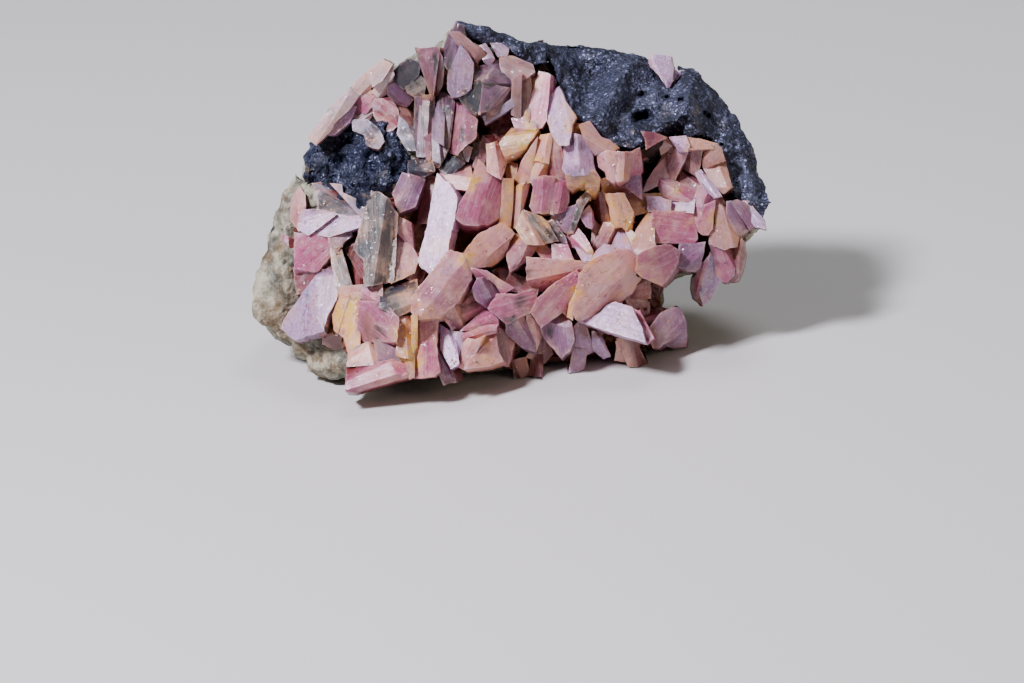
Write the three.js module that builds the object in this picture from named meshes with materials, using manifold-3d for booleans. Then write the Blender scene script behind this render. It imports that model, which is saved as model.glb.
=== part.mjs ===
// An inesite specimen: blocky pink crystals grown together over a bed of massive inesite,
// on a weathered host rock, with a dark metallic crust over the top and dark patches beside it.
// Millimetres, +Z up. The broken face with the crystals looks towards -Y and leans back.
import * as THREE from "three";
import { ConvexGeometry } from "three/addons/geometries/ConvexGeometry.js";
import { mergeVertices } from "three/addons/utils/BufferGeometryUtils.js";
import Module from "manifold-3d";

const wasm = await Module();
wasm.setup();

// ---- Driving dimensions ----------------------------------------------------------------------

const FACE_LEAN = THREE.MathUtils.degToRad(20); // the broken face leans back from upright
const FACE_ROLL = THREE.MathUtils.degToRad(3.4); // and is rolled this much in its own plane
const FACE_ORIGIN = new THREE.Vector3(-0.55, -0.9, 0); // the face's zero point on the base plane
const GAP = 0.3; // clearance between two solids that meet
const CRUST = 2.2; // thickness of the dark crust
const BED = 5; // depth of the massive inesite under the crystals
const BED_DROP = 2.4; // how far the bed lies behind the crystals' outer faces
const FEATHER = 3; // how far in from the inesite's edge the bed takes to reach its depth
const ROCK_RELIEF = 0.42; // height of the lumps on the bare rock
const BACK_RELIEF = 1.2; // and of those on its back
const BACK = 19; // the back of the host rock, along Y
const LEDGE_HEIGHT = 3.1; // the front overhang's height above the base plane
const LEDGE_START = -6; // where the overhang starts to rise, along Y
const LEDGE_FULL = -11; // and where it has reached its height
const FULLNESS = 0.85; // under 1, the specimen widens quickly away from its middle
const RIM_TURN = 0.3; // and the smaller this is, the more sharply it turns over at its rim

// ---- The face's own frame --------------------------------------------------------------------
// Every place on the face is given as across, up and out, in millimetres, seen square on.

const faceFrame = (() => {
  const sideways = new THREE.Vector3(1, 0, 0);
  const upSlope = new THREE.Vector3(0, Math.sin(FACE_LEAN), Math.cos(FACE_LEAN));
  const out = new THREE.Vector3(0, -Math.cos(FACE_LEAN), Math.sin(FACE_LEAN));
  const roll = new THREE.Matrix4().makeRotationZ(-FACE_ROLL);
  return new THREE.Matrix4().makeBasis(sideways, upSlope, out).multiply(roll).setPosition(FACE_ORIGIN);
})();

// ---- Small helpers ---------------------------------------------------------------------------

const smooth = (low, high, x) => THREE.MathUtils.smoothstep(x, low, high);
const union = (solids) => wasm.Manifold.union(solids);

function solid(geometry) {
  const bare = new THREE.BufferGeometry().setAttribute("position", geometry.getAttribute("position"));
  if (geometry.index) bare.setIndex(geometry.index);
  const merged = mergeVertices(bare, 1e-3);
  return new wasm.Manifold(
    new wasm.Mesh({
      numProp: 3,
      vertProperties: new Float32Array(merged.getAttribute("position").array),
      triVerts: new Uint32Array(merged.index.array),
    }),
  );
}

// Gentle lumps of up to about one unit, made of crossing waves.
function lumps(x, y, size) {
  const [a, b] = [x / size, y / size];
  return (
    0.5 * Math.sin(2.1 * a + 1.3 * b + 0.4) * Math.cos(1.7 * b - 0.6 * a) +
    0.3 * Math.sin(3.7 * b - 2.9 * a + 1.1) +
    0.2 * Math.cos(5.3 * a + 3.1 * b)
  );
}

// A height blended from nearby marks, each across, up, height.
const MARK_SPREAD = 0.6; // mm squared, how flat the surface is at each mark

function blend(marks, u, w) {
  let sum = 0;
  let weight = 0;
  for (const [mu, mw, height] of marks) {
    const near = 1 / ((u - mu) ** 2 + (w - mw) ** 2 + MARK_SPREAD) ** 2;
    sum += near * height;
    weight += near;
  }
  return sum / weight;
}

// Distance from a point to an outline, positive inside it.
function depthInside(outline, x, y) {
  let nearest = Infinity;
  let inside = false;
  outline.forEach(([x1, y1], i) => {
    const [x2, y2] = outline[(i + 1) % outline.length];
    const run = (x2 - x1) ** 2 + (y2 - y1) ** 2;
    const t = THREE.MathUtils.clamp(((x - x1) * (x2 - x1) + (y - y1) * (y2 - y1)) / run, 0, 1);
    nearest = Math.min(nearest, Math.hypot(x - x1 - t * (x2 - x1), y - y1 - t * (y2 - y1)));
    if (y1 > y !== y2 > y && x < x1 + ((y - y1) / (y2 - y1)) * (x2 - x1)) inside = !inside;
  });
  return inside ? nearest : -nearest;
}

// ---- Shape of the whole specimen -------------------------------------------------------------

// Its outline seen square on to the face, going round from the lower left.
const SPECIMEN = [
  [-20.6, -2.2], [-23, -1.6], [-26, 0.6], [-29, 2.4], [-32.5, 4.4], [-32.4, 7.6], [-31.6, 11.5],
  [-30.2, 14.2], [-29, 19], [-27.4, 22.4], [-26.6, 25.8], [-24.4, 28.8], [-21.2, 32], [-18, 35],
  [-14.6, 36.2], [-11.5, 38], [-8, 40], [-6.2, 42.2], [-2, 41.4], [2, 39.4], [7, 39.8], [13, 39],
  [18, 37.7], [24, 36.2], [27.6, 32], [30.1, 27.2], [32, 21], [33, 17.8], [31.4, 16.6], [29, 14.6],
  [27, 11.6], [22, 10.8], [19, 9.4], [18.2, 6], [18.6, 1], [17, -3], [6, -7], [-6, -9],
  [-14, -9], [-20, -7],
];

// How far out the specimen's widest edge lies, round that outline.
const EDGE_MARKS = [
  [-32.5, 4.4, 1.9], [-29, 2.4, 0], [-23, -2, 6], [-20, -6, 12], [-12, -9, 9], [6, -7, 3],
  [18, -1, 0], [19, 8, 3], [24, 11, 5], [29, 15, 7], [33, 17.5, 10.5], [31, 24, 4], [26, 34, 0],
  [18, 38, -2], [8, 40, -1], [0, 40.6, 7], [-6, 42, 9], [-12, 38, 3], [-19, 34, -1], [-24, 29, -2],
  [-29, 19, 0], [-31, 12, 1.5],
];

// How far out the crystals' faces, the crust and the bare rock lie.
const FACE_MARKS = [
  [-32, 6, 2.2], [-30, 9, 4], [-30, 17, 2.4], [-28, 6, 7], [-24, -0.5, 7], [-27, 22, 3.4],
  [-24, 24.5, 5.5], [-21, 28.5, 3], [-18.5, 31.5, 1.5], [-20, 22, 8.6], [-16.5, 26.5, 7.5],
  [-14, 33, 4.5], [-25, 12.5, 10.4], [-25, 6, 10.4], [-21, 3, 12.6], [-21, 11, 11.5],
  [-23.5, 17, 9.6], [-20, -3, 18], [-17, 4, 18], [-12, -1, 17.4], [-13, 6, 17.4], [-8, 1.5, 16],
  [-8, 9, 18], [-4.5, 12, 17.2], [-4, 3, 14.8], [-2.5, 8, 14.5], [-16.6, 19, 13.4],
  [-16.6, 11, 15.4], [-12, 17, 12], [-9, 14, 12.6], [-9.5, 24, 11], [-9, 31, 8.4], [-8, 36, 9.8],
  [-5, 40, 11], [-1.5, 39, 9.6], [-3, 33.5, 13], [-2.5, 28, 11], [-4, 20, 12.4], [-0.5, 25, 12],
  [3, 31, 11.4], [3.5, 23, 12], [1.6, 16.5, 10.4], [-0.5, 13, 13.2], [6.5, 15, 10.4],
  [5, 10.5, 13], [1, 6, 13.2], [4, 1.5, 7.5], [7, 6.5, 12.6], [11.5, 9.2, 13.4], [12, 4.5, 13],
  [16.4, 2.6, 12.2], [12, 0.5, 5.5], [16, 6.5, 8], [20, 3.5, 3], [22, 1.5, 0.5], [8.3, 24, 13],
  [13.5, 23.5, 13], [11, 18, 9.6], [16.5, 23.4, 5], [19, 24.5, 6.2], [20.4, 20.6, 6.6],
  [20, 16, 10], [17.6, 11, 12.6], [17.2, 17.6, 9], [22, 11.8, 8.6], [24, 16.5, 7.6], [25.5, 23, 7],
  [28, 12, 7], [29, 17.5, 8.4], [24.4, 8, 3.4], [9, 28.8, 13.6], [16, 27, 13.4], [21, 29, 12],
  [26, 27, 10.4], [27.6, 21, 10.6], [32.6, 17.6, 11.2], [31, 22, 8], [28, 29, 5], [24, 33, 4],
  [12, 32, 12], [6.4, 33, 9.4], [17, 34.5, 5], [10, 36.4, 2.4], [20, 37, -0.5],
];

const face = (u, w) => blend(FACE_MARKS, u, w);
const edgeOut = (u, w) => blend(EDGE_MARKS, u, w);
const backOut = (u, w) =>
  Math.tan(FACE_LEAN) * w - BACK / Math.cos(FACE_LEAN) + BACK_RELIEF * lumps(u + 9, w, 8);

// Where the pink inesite shows on the face.
const INESITE = [
  [-28.4, 3.2], [-28.2, 9.4], [-27.4, 12], [-28.2, 15], [-28, 20.4], [-25.6, 21.4], [-18.4, 18.2],
  [-16.8, 21], [-13, 22.4], [-12.6, 25], [-16, 29.5], [-23.4, 29.6], [-18, 35], [-14.6, 34.2],
  [-11.8, 36], [-10, 39.4], [-7, 44], [-6.4, 42.2], [-5.6, 40], [-3.6, 39.2], [0, 38.2],
  [2.6, 36.6], [3.6, 38], [5.6, 34], [6.8, 31.4], [8, 29.2], [11, 27.2], [13, 26.2], [16, 25.8],
  [17, 27.6], [24, 27.4], [26, 26.2], [27, 21.4], [28, 19.4], [31.4, 16.6], [40, 8], [30, -20],
  [-20.6, -20], [-20.6, -1.6], [-24, 3],
];

// Where the dark crust covers the top, the peak and the left shoulder, and how far out it starts.
const ROOF = {
  from: -40,
  outline: [
    [4, 60], [4, 38], [5.2, 36.2], [5.8, 34], [6.8, 31.4], [8, 29.2], [9.8, 28.8], [11, 27.3],
    [13, 26.2], [15.5, 25.8], [16.9, 26.4], [18, 27.8], [24, 27.5], [25.4, 27], [26.4, 25.2],
    [27.2, 21.2], [28, 19.6], [29.4, 18.8], [31.4, 16.4], [38, 12], [60, 20], [60, 60],
  ],
};
const PEAK = {
  from: -6,
  outline: [
    [3.3, 60], [3.3, 36.6], [2.2, 36.3], [1, 37], [-1, 38.8], [-3.5, 39], [-4.6, 39.4], [-5.6, 40.2],
    [-6.4, 42], [-7, 60],
  ],
};
const SHOULDER = {
  from: -5,
  outline: [
    [-35, 32], [-27.4, 26], [-26.8, 22.4], [-24.6, 21.6], [-18.5, 18.6], [-16.6, 21], [-12.8, 22.4],
    [-12.6, 25], [-15.8, 28.6], [-19, 28.2], [-21, 30.4], [-26, 36],
  ],
};

// A bit of pink inesite that shows through a hole in the roof near its top.
const POCKET = {
  from: -40,
  outline: [
    [17.5, 36.8], [18, 42], [21, 42], [20.7, 36.2], [21.4, 35.4], [19.9, 33.4], [18.8, 35],
  ],
};

// Pale knobs of host rock at the lower left: across, up, out and radius.
const KNOBS = [
  [-23, 0.1, 4.6, 2.5], [-25.4, 1.6, 3, 1.9], [-21.6, -0.6, 6.8, 1.7], [-31.2, 5.4, 2, 1.7],
];

// One lump bounded by that outline. Its sides are drawn in by the inset, all round.
function specimen(inset) {
  const around = 48;
  const rings = 5; // from the middle of the face to the rim
  const middle = [-1, 15.5];
  const loop = new THREE.CurvePath();
  SPECIMEN.forEach((from, i) => {
    const to = SPECIMEN[(i + 1) % SPECIMEN.length];
    loop.add(new THREE.LineCurve(new THREE.Vector2(...from), new THREE.Vector2(...to)));
  });
  const lump = new THREE.SphereGeometry(1, around, 2 * rings);
  const place = lump.getAttribute("position");
  for (let i = 0; i < place.count; i++) {
    const column = i % (around + 1);
    const row = Math.floor(i / (around + 1));
    const fromPole = Math.min(row, 2 * rings - row);
    const edge = loop.getPointAt(((around - column) % around) / around);
    const reach = Math.sin((Math.PI * fromPole) / (2 * rings)) ** FULLNESS;
    const dome = (1 - reach ** 4) ** RIM_TURN;
    const shrink = 1 - inset / Math.hypot(edge.x - middle[0], edge.y - middle[1]);
    const u = middle[0] + reach * shrink * (edge.x - middle[0]);
    const w = middle[1] + reach * shrink * (edge.y - middle[1]);
    const rim = edgeOut(edge.x, edge.y);
    const pink = smooth(0.3, BED_DROP, depthInside(INESITE, u, w));
    const front = face(u, w) - BED_DROP * pink + (1 - pink) * ROCK_RELIEF * lumps(u, w, 5) - inset;
    const surface = row <= rings ? front : backOut(u, w) + inset;
    place.setXYZ(i, u, w, rim * (1 - dome) + surface * dome);
  }
  return solid(lump.applyMatrix4(faceFrame));
}

// Everything behind a height on the face, in a block with a step about every 6 mm.
function behind(height) {
  const farBack = -60;
  const block = new THREE.BoxGeometry(90, 75, 60, 15, 12, 1).translate(0, 17, 0);
  const place = block.getAttribute("position");
  for (let i = 0; i < place.count; i++) {
    const [u, w] = [place.getX(i), place.getY(i)];
    place.setZ(i, place.getZ(i) > 0 ? height(u, w) : farBack);
  }
  return solid(block.applyMatrix4(faceFrame));
}

// An outline moved outwards all round.
function grown(outline, by) {
  const corners = outline.map(([u, w]) => new THREE.Vector2(u, w));
  const turn = THREE.ShapeUtils.isClockWise(corners) ? -1 : 1;
  return corners.map((corner, i) => {
    const before = corners.at(i - 1);
    const after = corners[(i + 1) % corners.length];
    const normals = [[before, corner], [corner, after]].map(([from, to]) => {
      const step = to.clone().sub(from).normalize();
      return new THREE.Vector2(step.y * turn, -step.x * turn);
    });
    const mitre = normals[0].clone().add(normals[1]).normalize();
    const moved = corner.clone().addScaledVector(mitre, by / Math.max(mitre.dot(normals[0]), 0.5));
    return [moved.x, moved.y];
  });
}

// Everything within an outline on the face, from an out height forwards.
function through({ outline, from }, grow) {
  const clearOfAll = 120;
  const shape = new THREE.Shape(grown(outline, grow).map(([u, w]) => new THREE.Vector2(u, w)));
  const block = new THREE.ExtrudeGeometry(shape, { depth: clearOfAll, bevelEnabled: false });
  return solid(block.translate(0, 0, from - grow).applyMatrix4(faceFrame));
}

// The space under the specimen: flat below the base, rising to the overhang in front.
function underneath() {
  const reach = 60; // past the specimen on every side
  const side = new THREE.Shape();
  side.moveTo(-reach, -reach);
  side.lineTo(reach, -reach);
  side.lineTo(reach, 0);
  side.lineTo(LEDGE_START, 0);
  side.lineTo(LEDGE_FULL, LEDGE_HEIGHT);
  side.lineTo(-reach, LEDGE_HEIGHT);
  const block = new THREE.ExtrudeGeometry(side, { depth: 2 * reach, bevelEnabled: false });
  return solid(block.translate(0, 0, -reach).rotateX(Math.PI / 2).rotateZ(Math.PI / 2));
}

// ---- Crystals --------------------------------------------------------------------------------
// Each runs from its root to its tip: across, up and rise above the face, twice over,
// then width, thickness, twist about its length in degrees, and how much the tip narrows.

const CRYSTALS = [
  // Left side: the pale prism, the pink block above it and the blades beside them.
  [-25.6, 3.4, -0.2, -22.4, 11.8, 0.4, 3.8, 4, 12, 0.3],
  [-24.9, 15.6, 0.2, -24.6, 11, 0.6, 4.4, 4.5, -8, 0.1],
  [-21.6, 14, -0.6, -20, 8.4, 0.6, 2.4, 3.6, 10, 0.1],
  [-21.8, 5.6, 0.2, -19.6, 3, 0.2, 2.8, 4, 20, 0.1],
  [-27.6, 16.3, -0.4, -18.6, 17.4, 0.4, 2.2, 4, 6, 0.2],
  // The grey-green blade and the pink bundle right of it.
  [-16.5, 9.8, 0.2, -16.6, 20.2, 1.2, 3.5, 4, 8, 0.45],
  // Lower left wall over the overhang.
  [-18.8, 4.6, 0.2, -14.4, 4.2, 0.4, 4.6, 5, 3, 0.1],
  [-16.6, 8.4, -0.4, -12, 8.2, 0.2, 3, 4.6, -6, 0.1],
  [-20.3, 0.6, 0, -14, 1, 0.2, 2.8, 5, 4, 0.1],
  [-20.4, -2.6, 0.2, -12.4, -1.4, 0.2, 3.2, 5, -4, 0.05],
  [-13.4, 6, 0, -13.2, -2.2, 0.2, 2, 4.4, 10, 0.1],
  [-10.9, 6.4, -0.2, -10.4, -2, 0.4, 3, 5, -7, 0.1],
  [-2.6, 4.2, -0.6, -0.6, 0, -0.6, 2.6, 4.4, 12, 0.3],
  [-14.6, 7.6, -0.2, -9.6, 7, -0.6, 2, 4, 0, 0.2],
  // The big translucent prism and the blocks along its right.
  [-10.8, 5.2, -0.2, -6.6, 12.8, 1, 3.9, 4.6, 8, 0.15],
  [-4.8, 9.6, 0, -1.8, 8, 0.4, 3, 4.4, 18, 0.1],
  [-2.6, 6.6, 0, 3.2, 6.2, 0.6, 3, 4.6, -8, 0.15],
  [0.2, 4.8, -0.4, 2.4, 0.6, 0.6, 3.1, 4.4, 6, 0.25],
  [5.4, 5.4, -0.2, 5.9, -0.2, 0.8, 3.2, 4.6, 10, 0.55],
  // Centre: tall blades, the kinked crystal and the wedges.
  [-8.3, 22.4, 0.6, -10, 10.8, 0.6, 2.6, 4.4, 14, 0.2],
  [-13.4, 22, 0.2, -12.4, 18.6, 0.6, 2.6, 3.8, -12, 0.2],
  [-2.8, 23.8, -0.4, -4.6, 16.6, 0.8, 4.2, 4.6, -9, 0.15],
  [2.4, 28, -0.2, -0.6, 25.4, 0.6, 2.3, 4, 0, 0.1],
  [4.5, 28, -0.2, 3.4, 22, 0.4, 3.5, 4.4, 6, 0.05],
  [3.4, 22.6, 0.2, 4.8, 17.6, 0.4, 3.5, 4.4, -5, 0.2],
  [-4.2, 11.8, 0.2, -0.6, 15.8, 0.8, 3.2, 4.2, 8, 0.2],
  [0.2, 11, -0.2, 1.6, 14.8, 0.2, 2.8, 4, -10, 0.2],
  [1, 18.6, 0, 2.8, 13.8, 1, 2.2, 3.6, 24, 0.6],
  [6.2, 18.8, 0, 6.2, 15.4, 0.2, 2.4, 3.6, 0, 0.2],
  [6.8, 15.8, 0, 9.6, 12.4, 0.4, 2.2, 3.6, 16, 0.3],
  [0.2, 10.9, 0, 8.6, 11.3, 0.4, 2.2, 4.2, -6, 0.1],
  [3.4, 5.6, 0, 8, 9.8, 0.6, 3.1, 4.4, 8, 0.1],
  [8.6, 6.4, 0, 14.8, 11.9, 0.6, 4.5, 4.6, -7, 0.15],
  // Upper left: the spray of narrow blades under the peak.
  [-8.7, 25.6, -0.6, -6.9, 23.2, 0, 2.2, 3.4, 0, 0.1],
  [-7.3, 40.2, -0.4, -7, 32.8, 0.2, 2.2, 4, 9, 0.1],
  [-5.8, 38.6, -0.2, -5.8, 33.3, 0.8, 2.5, 4.2, -8, 0.15],
  [-7.6, 40.9, -0.4, -4.4, 37.8, 0.2, 2.6, 4, 0, 0.2],
  [-10.4, 38.4, 0, -9.3, 32.8, 0.2, 2.4, 4, -6, 0.1],
  [-13, 36.6, 0, -12.4, 33.4, 0.2, 2, 3.6, 8, 0.2],
  [-4.9, 34.2, 0, -4.3, 30.4, 0.6, 2.8, 4.4, 14, 0.05],
  [-1.2, 35.2, -0.2, -3.1, 30.8, 0.2, 3.3, 4.2, -8, 0.1],
  [-1.4, 36.6, 0, 1.8, 35.8, 0.3, 2.4, 4, 0, 0.3],
  [3.7, 35.8, -0.4, 3, 28.8, 0.4, 2.1, 4, -9, 0.2],
  [5.1, 33.6, -0.4, 6.3, 26.3, 0.8, 2.3, 4.2, 8, 0.2],
  [-19.5, 33.2, 0.4, -16, 35.6, 0.8, 2.6, 4, 0, 0.3],
  [-23.4, 29.6, 0.6, -20, 32.2, 0.8, 2, 3.4, 0, 0.3],
  [-17.2, 32.6, 0.2, -16.2, 29.6, 0.4, 2.2, 3.6, 10, 0.2],
  [-15.6, 30.4, 0, -13.2, 27.4, 0.2, 2, 3.6, -10, 0.2],
  // Right of centre: stained blocks under the crust, plates and the slanting slabs.
  [9.2, 27.2, -0.2, 7.9, 21.8, 0.6, 3.8, 4.8, 6, 0.15],
  [11.6, 22.4, -0.4, 10, 20, 0.2, 2.2, 3.8, 0, 0.6],
  [12.2, 26.2, -0.4, 14, 21.6, 0.8, 4.6, 4.8, -8, 0.25],
  [15.2, 23.4, 0, 16.2, 20.2, 0.2, 2, 3.8, 12, 0.6],
  [9.8, 20, -0.6, 12.8, 15.6, 0, 2.6, 3.8, 22, 0.3],
  [12.9, 20.2, -0.2, 13.6, 16.2, 0.6, 2, 3.8, -10, 0.3],
  [13.1, 15.8, -0.2, 14.6, 13, 0.2, 2.1, 3.8, 12, 0.3],
  [21.2, 26.4, 0.2, 17.3, 20.8, 0.6, 2.8, 4.2, 10, 0.2],
  [22.6, 26.2, 0.2, 22, 21.2, 0.2, 3.2, 4.2, -12, 0.1],
  [20.4, 18.2, -0.2, 20.3, 14, 0.2, 5.2, 4.8, 4, 0.05],
  [16.7, 17.6, -0.2, 18.3, 9.8, 0.4, 3.8, 4.6, 6, 0.2],
  [18.8, 14, -0.6, 18.8, 9.6, -0.4, 3.4, 4.4, -14, 0.1],
  [22.1, 14.2, 0, 21.9, 11.1, 0.2, 3.3, 4.2, 8, 0.1],
  [24.2, 20.6, 0, 23.9, 15, 0.4, 2.5, 4, -10, 0.45],
  [25.2, 26.2, 0.2, 25.6, 20.6, 0.6, 3, 4, 12, 0.25],
  [26, 20.6, -0.2, 27.9, 14.6, 0.2, 2.6, 4.2, 8, 0.2],
  [27.7, 15.6, 0, 27, 9.7, 0.4, 3.3, 4, -6, 0.4],
  [27.4, 18.8, 0.2, 29.2, 15.6, 0.6, 2.8, 4, 12, 0.3],
  [25.4, 13, -0.4, 24, 6.5, 0.4, 2.8, 3.8, 8, 0.8],
  [26.2, 11.4, -0.2, 26.1, 8.6, 0, 1.5, 3, 0, 0.6],
  // Lower right: the bright slab, the shaded plate and the foot that stands on the base.
  [8.8, 4.9, 0, 16.8, 3, 0.4, 3, 4.4, -5, 0.2],
  [13.6, 8.2, -0.4, 17.4, 6, -0.2, 3.6, 5, 12, 0.2],
  [20, 6.2, 0.4, 20.2, 1.2, 0.6, 3.6, 4.2, 8, 0.1],
  [9.8, 3, -1, 12.4, -0.2, -0.4, 2, 4, 0, 0.3],
  [16.6, 10.6, -1, 18.2, 5.6, -0.6, 2.6, 4.6, 0, 0.2],
];

// The crystal in the roof's pocket.
const ROOF_CRYSTAL = [17.8, 37.2, 1.6, 20.9, 35.4, 1.6, 4.4, 6, 10, 0.1];

// A blade's cross-section, as shares of its width and thickness, and how its tip is broken.
const SECTION = [
  [-0.5, -0.3], [-0.36, 0.5], [0.34, 0.5], [0.5, 0.22], [0.46, -0.5], [-0.4, -0.5],
];
const TAPER = 1.1; // a tip's taper begins this share of the narrowing before its end
const POINTED = 0.25; // a tip that narrows more than this has a shoulder of its own
const TIP_SLANT = 0.18; // how far the broken tip slants back, as a share of the width

function knob([u, w, out, radius]) {
  return solid(new THREE.IcosahedronGeometry(radius, 1).translate(u, w, out).applyMatrix4(faceFrame));
}

function crystal([u1, w1, rise1, u2, w2, rise2, width, thick, twist, narrow]) {
  const root = new THREE.Vector3(u1, w1, face(u1, w1) + rise1 - thick / 2);
  const tip = new THREE.Vector3(u2, w2, face(u2, w2) + rise2 - thick / 2);
  const along = tip.clone().sub(root);
  const length = along.length();
  along.normalize();
  const wide = new THREE.Vector3().crossVectors(along, new THREE.Vector3(0, 0, 1)).normalize();
  wide.applyAxisAngle(along, THREE.MathUtils.degToRad(twist));
  const deep = new THREE.Vector3().crossVectors(wide, along);
  const taperFrom = Math.max(length - narrow * width * TAPER, length * 0.35);
  const rings = [[0, 1], [length, 1 - narrow]];
  if (narrow > POINTED) rings.splice(1, 0, [taperFrom, 1]);
  const points = rings.flatMap(([reach, scale]) =>
    SECTION.map(([across, up]) =>
      root
        .clone()
        .addScaledVector(along, reach - (reach < length ? 0 : TIP_SLANT * width * (up + 0.5)))
        .addScaledVector(wide, across * width * scale)
        .addScaledVector(deep, (up * (0.4 + 0.6 * scale) + 0.1 * (scale - 1)) * thick),
    ),
  );
  return solid(new ConvexGeometry(points).applyMatrix4(faceFrame));
}

// ---- The pieces ------------------------------------------------------------------------------

// Where the host rock ends and the inesite's bed begins: it rises in front of the face outside
// the inesite, and lies the bed's depth behind the face inside it.
const seat = (u, w) => {
  const inside = depthInside(INESITE, u, w);
  const lip = 2;
  const sunk = (BED + lip) * smooth(-1, FEATHER, inside);
  return face(u, w) - BED_DROP + lip - sunk + 2 * lip * smooth(0, lip, -inside);
};
const base = underneath();
const whole = specimen(0).subtract(base);
const core = specimen(CRUST).subtract(base);
const coreClear = core.intersect(specimen(CRUST + GAP));
const crusts = [ROOF, PEAK, SHOULDER];
const pocket = through(POCKET, 0);
const [roof, peak, knot] = crusts.map((crust) => whole.intersect(through(crust, 0)).subtract(core));
const crustSpace = union(crusts.map((crust) => through(crust, GAP))).subtract(coreClear);
const knobs = union(KNOBS.map(knob)).subtract(base);
const hostRock = union([whole, knobs]).subtract(crustSpace).intersect(behind((u, w) => seat(u, w) - GAP));
const bed = whole.subtract(behind(seat));
const crystals = union(CRYSTALS.map(crystal)).subtract(behind(seat)).subtract(base);
const inesite = union([bed, crystals]).subtract(crustSpace);
const roofCrystal = crystal(ROOF_CRYSTAL).intersect(through(POCKET, -GAP)).subtract(core);

// The triangles of the biggest connected body, without the crumbs that cutting leaves.
function biggestBody(corners, count) {
  const parent = Array.from({ length: count }, (_, i) => i);
  const top = (i) => {
    while (parent[i] !== i) i = parent[i];
    return i;
  };
  for (let i = 0; i < corners.length; i += 3) {
    const first = top(corners[i]);
    parent[top(corners[i + 1])] = first;
    parent[top(corners[i + 2])] = first;
  }
  const bodies = new Map();
  for (let i = 0; i < corners.length; i += 3) {
    const body = top(corners[i]);
    if (!bodies.has(body)) bodies.set(body, []);
    bodies.get(body).push(corners[i], corners[i + 1], corners[i + 2]);
  }
  return [...bodies.values()].reduce((a, b) => (b.length > a.length ? b : a));
}

function node(name, made, colour, roughness, metalness) {
  const mesh = made.getMesh();
  const corners = biggestBody(mesh.triVerts, mesh.vertProperties.length / 3);
  const geometry = new THREE.BufferGeometry();
  geometry.setAttribute("position", new THREE.BufferAttribute(new Float32Array(mesh.vertProperties), 3));
  geometry.setIndex(corners);
  const material = new THREE.MeshStandardMaterial({ name, color: colour, roughness, metalness });
  const piece = new THREE.Mesh(geometry, material);
  piece.name = name;
  return piece;
}

const specimenGroup = new THREE.Group();
specimenGroup.name = "inesite_specimen";
specimenGroup.add(
  node("host_rock", hostRock, "#b9b5a2", 0.9, 0),
  node("inesite_crystals", inesite, "#d9a0a8", 0.4, 0),
  node("roof_crystal", roofCrystal, "#d9a0a8", 0.4, 0),
  node("crust_roof", roof.subtract(pocket), "#3a414c", 0.5, 0.5),
  node("crust_peak", peak, "#3a414c", 0.5, 0.5),
  node("dark_knot", knot, "#2f3540", 0.6, 0.3),
);

export default specimenGroup;
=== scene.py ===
import math
import random
import re

import bpy
import numpy as np
from mathutils import Matrix, Vector, noise as patterns
from mathutils.bvhtree import BVHTree
from mathutils.geometry import delaunay_2d_cdt


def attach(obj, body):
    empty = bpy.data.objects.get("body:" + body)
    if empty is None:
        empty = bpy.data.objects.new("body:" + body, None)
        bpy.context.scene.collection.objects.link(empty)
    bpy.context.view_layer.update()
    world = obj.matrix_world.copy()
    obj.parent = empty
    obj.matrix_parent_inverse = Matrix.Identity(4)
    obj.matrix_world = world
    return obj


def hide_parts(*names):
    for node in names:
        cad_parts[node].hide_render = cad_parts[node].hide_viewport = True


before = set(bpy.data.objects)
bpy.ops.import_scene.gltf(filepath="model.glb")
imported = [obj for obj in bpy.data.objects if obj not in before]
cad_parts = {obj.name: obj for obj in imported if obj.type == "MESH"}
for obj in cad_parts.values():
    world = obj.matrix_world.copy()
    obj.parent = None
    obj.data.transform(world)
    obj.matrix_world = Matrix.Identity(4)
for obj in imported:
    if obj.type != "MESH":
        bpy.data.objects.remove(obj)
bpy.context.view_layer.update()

# ---- Camera ----------------------------------------------------------------------------------
# The broken face leans back 20 degrees and is rolled 3.4 degrees in its own plane. The camera
# looks square at it through a long lens. Places on the face are across, up and out, in mm.
MM = 0.001
FACE_LEAN = math.radians(20)
FACE_ROLL = math.radians(3.4)
FACE_ORIGIN = np.array([-0.55, -0.9, 0.0])
sideways = np.array([1.0, 0.0, 0.0])
up_slope = np.array([0.0, math.sin(FACE_LEAN), math.cos(FACE_LEAN)])
OUT = np.array([0.0, -math.cos(FACE_LEAN), math.sin(FACE_LEAN)])
ACROSS = math.cos(FACE_ROLL) * sideways - math.sin(FACE_ROLL) * up_slope
UP = math.sin(FACE_ROLL) * sideways + math.cos(FACE_ROLL) * up_slope


def on_face(across, up, out):
    """World place, in mm, of a place on the face."""
    return FACE_ORIGIN + across * ACROSS + up * UP + out * OUT


VIEW_WIDTH = 128.0  # mm of the face across the whole picture
VIEW_CENTRE = (0.0, 1.9)
CRYSTALS_OUT = 10  # mm that the crystals in the middle stand out
LENS = 300.0
SENSOR = 36.0
bpy.ops.object.camera_add()
camera = bpy.context.object
camera.name = "camera"
camera.data.lens = LENS
camera.data.sensor_width = SENSOR
stand_off = VIEW_WIDTH * LENS / SENSOR + CRYSTALS_OUT
turn = Matrix(np.column_stack([ACROSS, UP, OUT]).tolist()).to_4x4()
camera.matrix_world = Matrix.Translation(on_face(*VIEW_CENTRE, stand_off) * MM) @ turn
bpy.context.scene.camera = camera

# ---- Floor and light -------------------------------------------------------------------------
# A plain pale table top, a big soft light from the upper left, a weaker one from the right and
# a high one that runs along the crust.
bpy.ops.mesh.primitive_plane_add(size=3.0, location=(0, 0.6, 0))
floor = bpy.context.object
floor.name = "floor"


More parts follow.
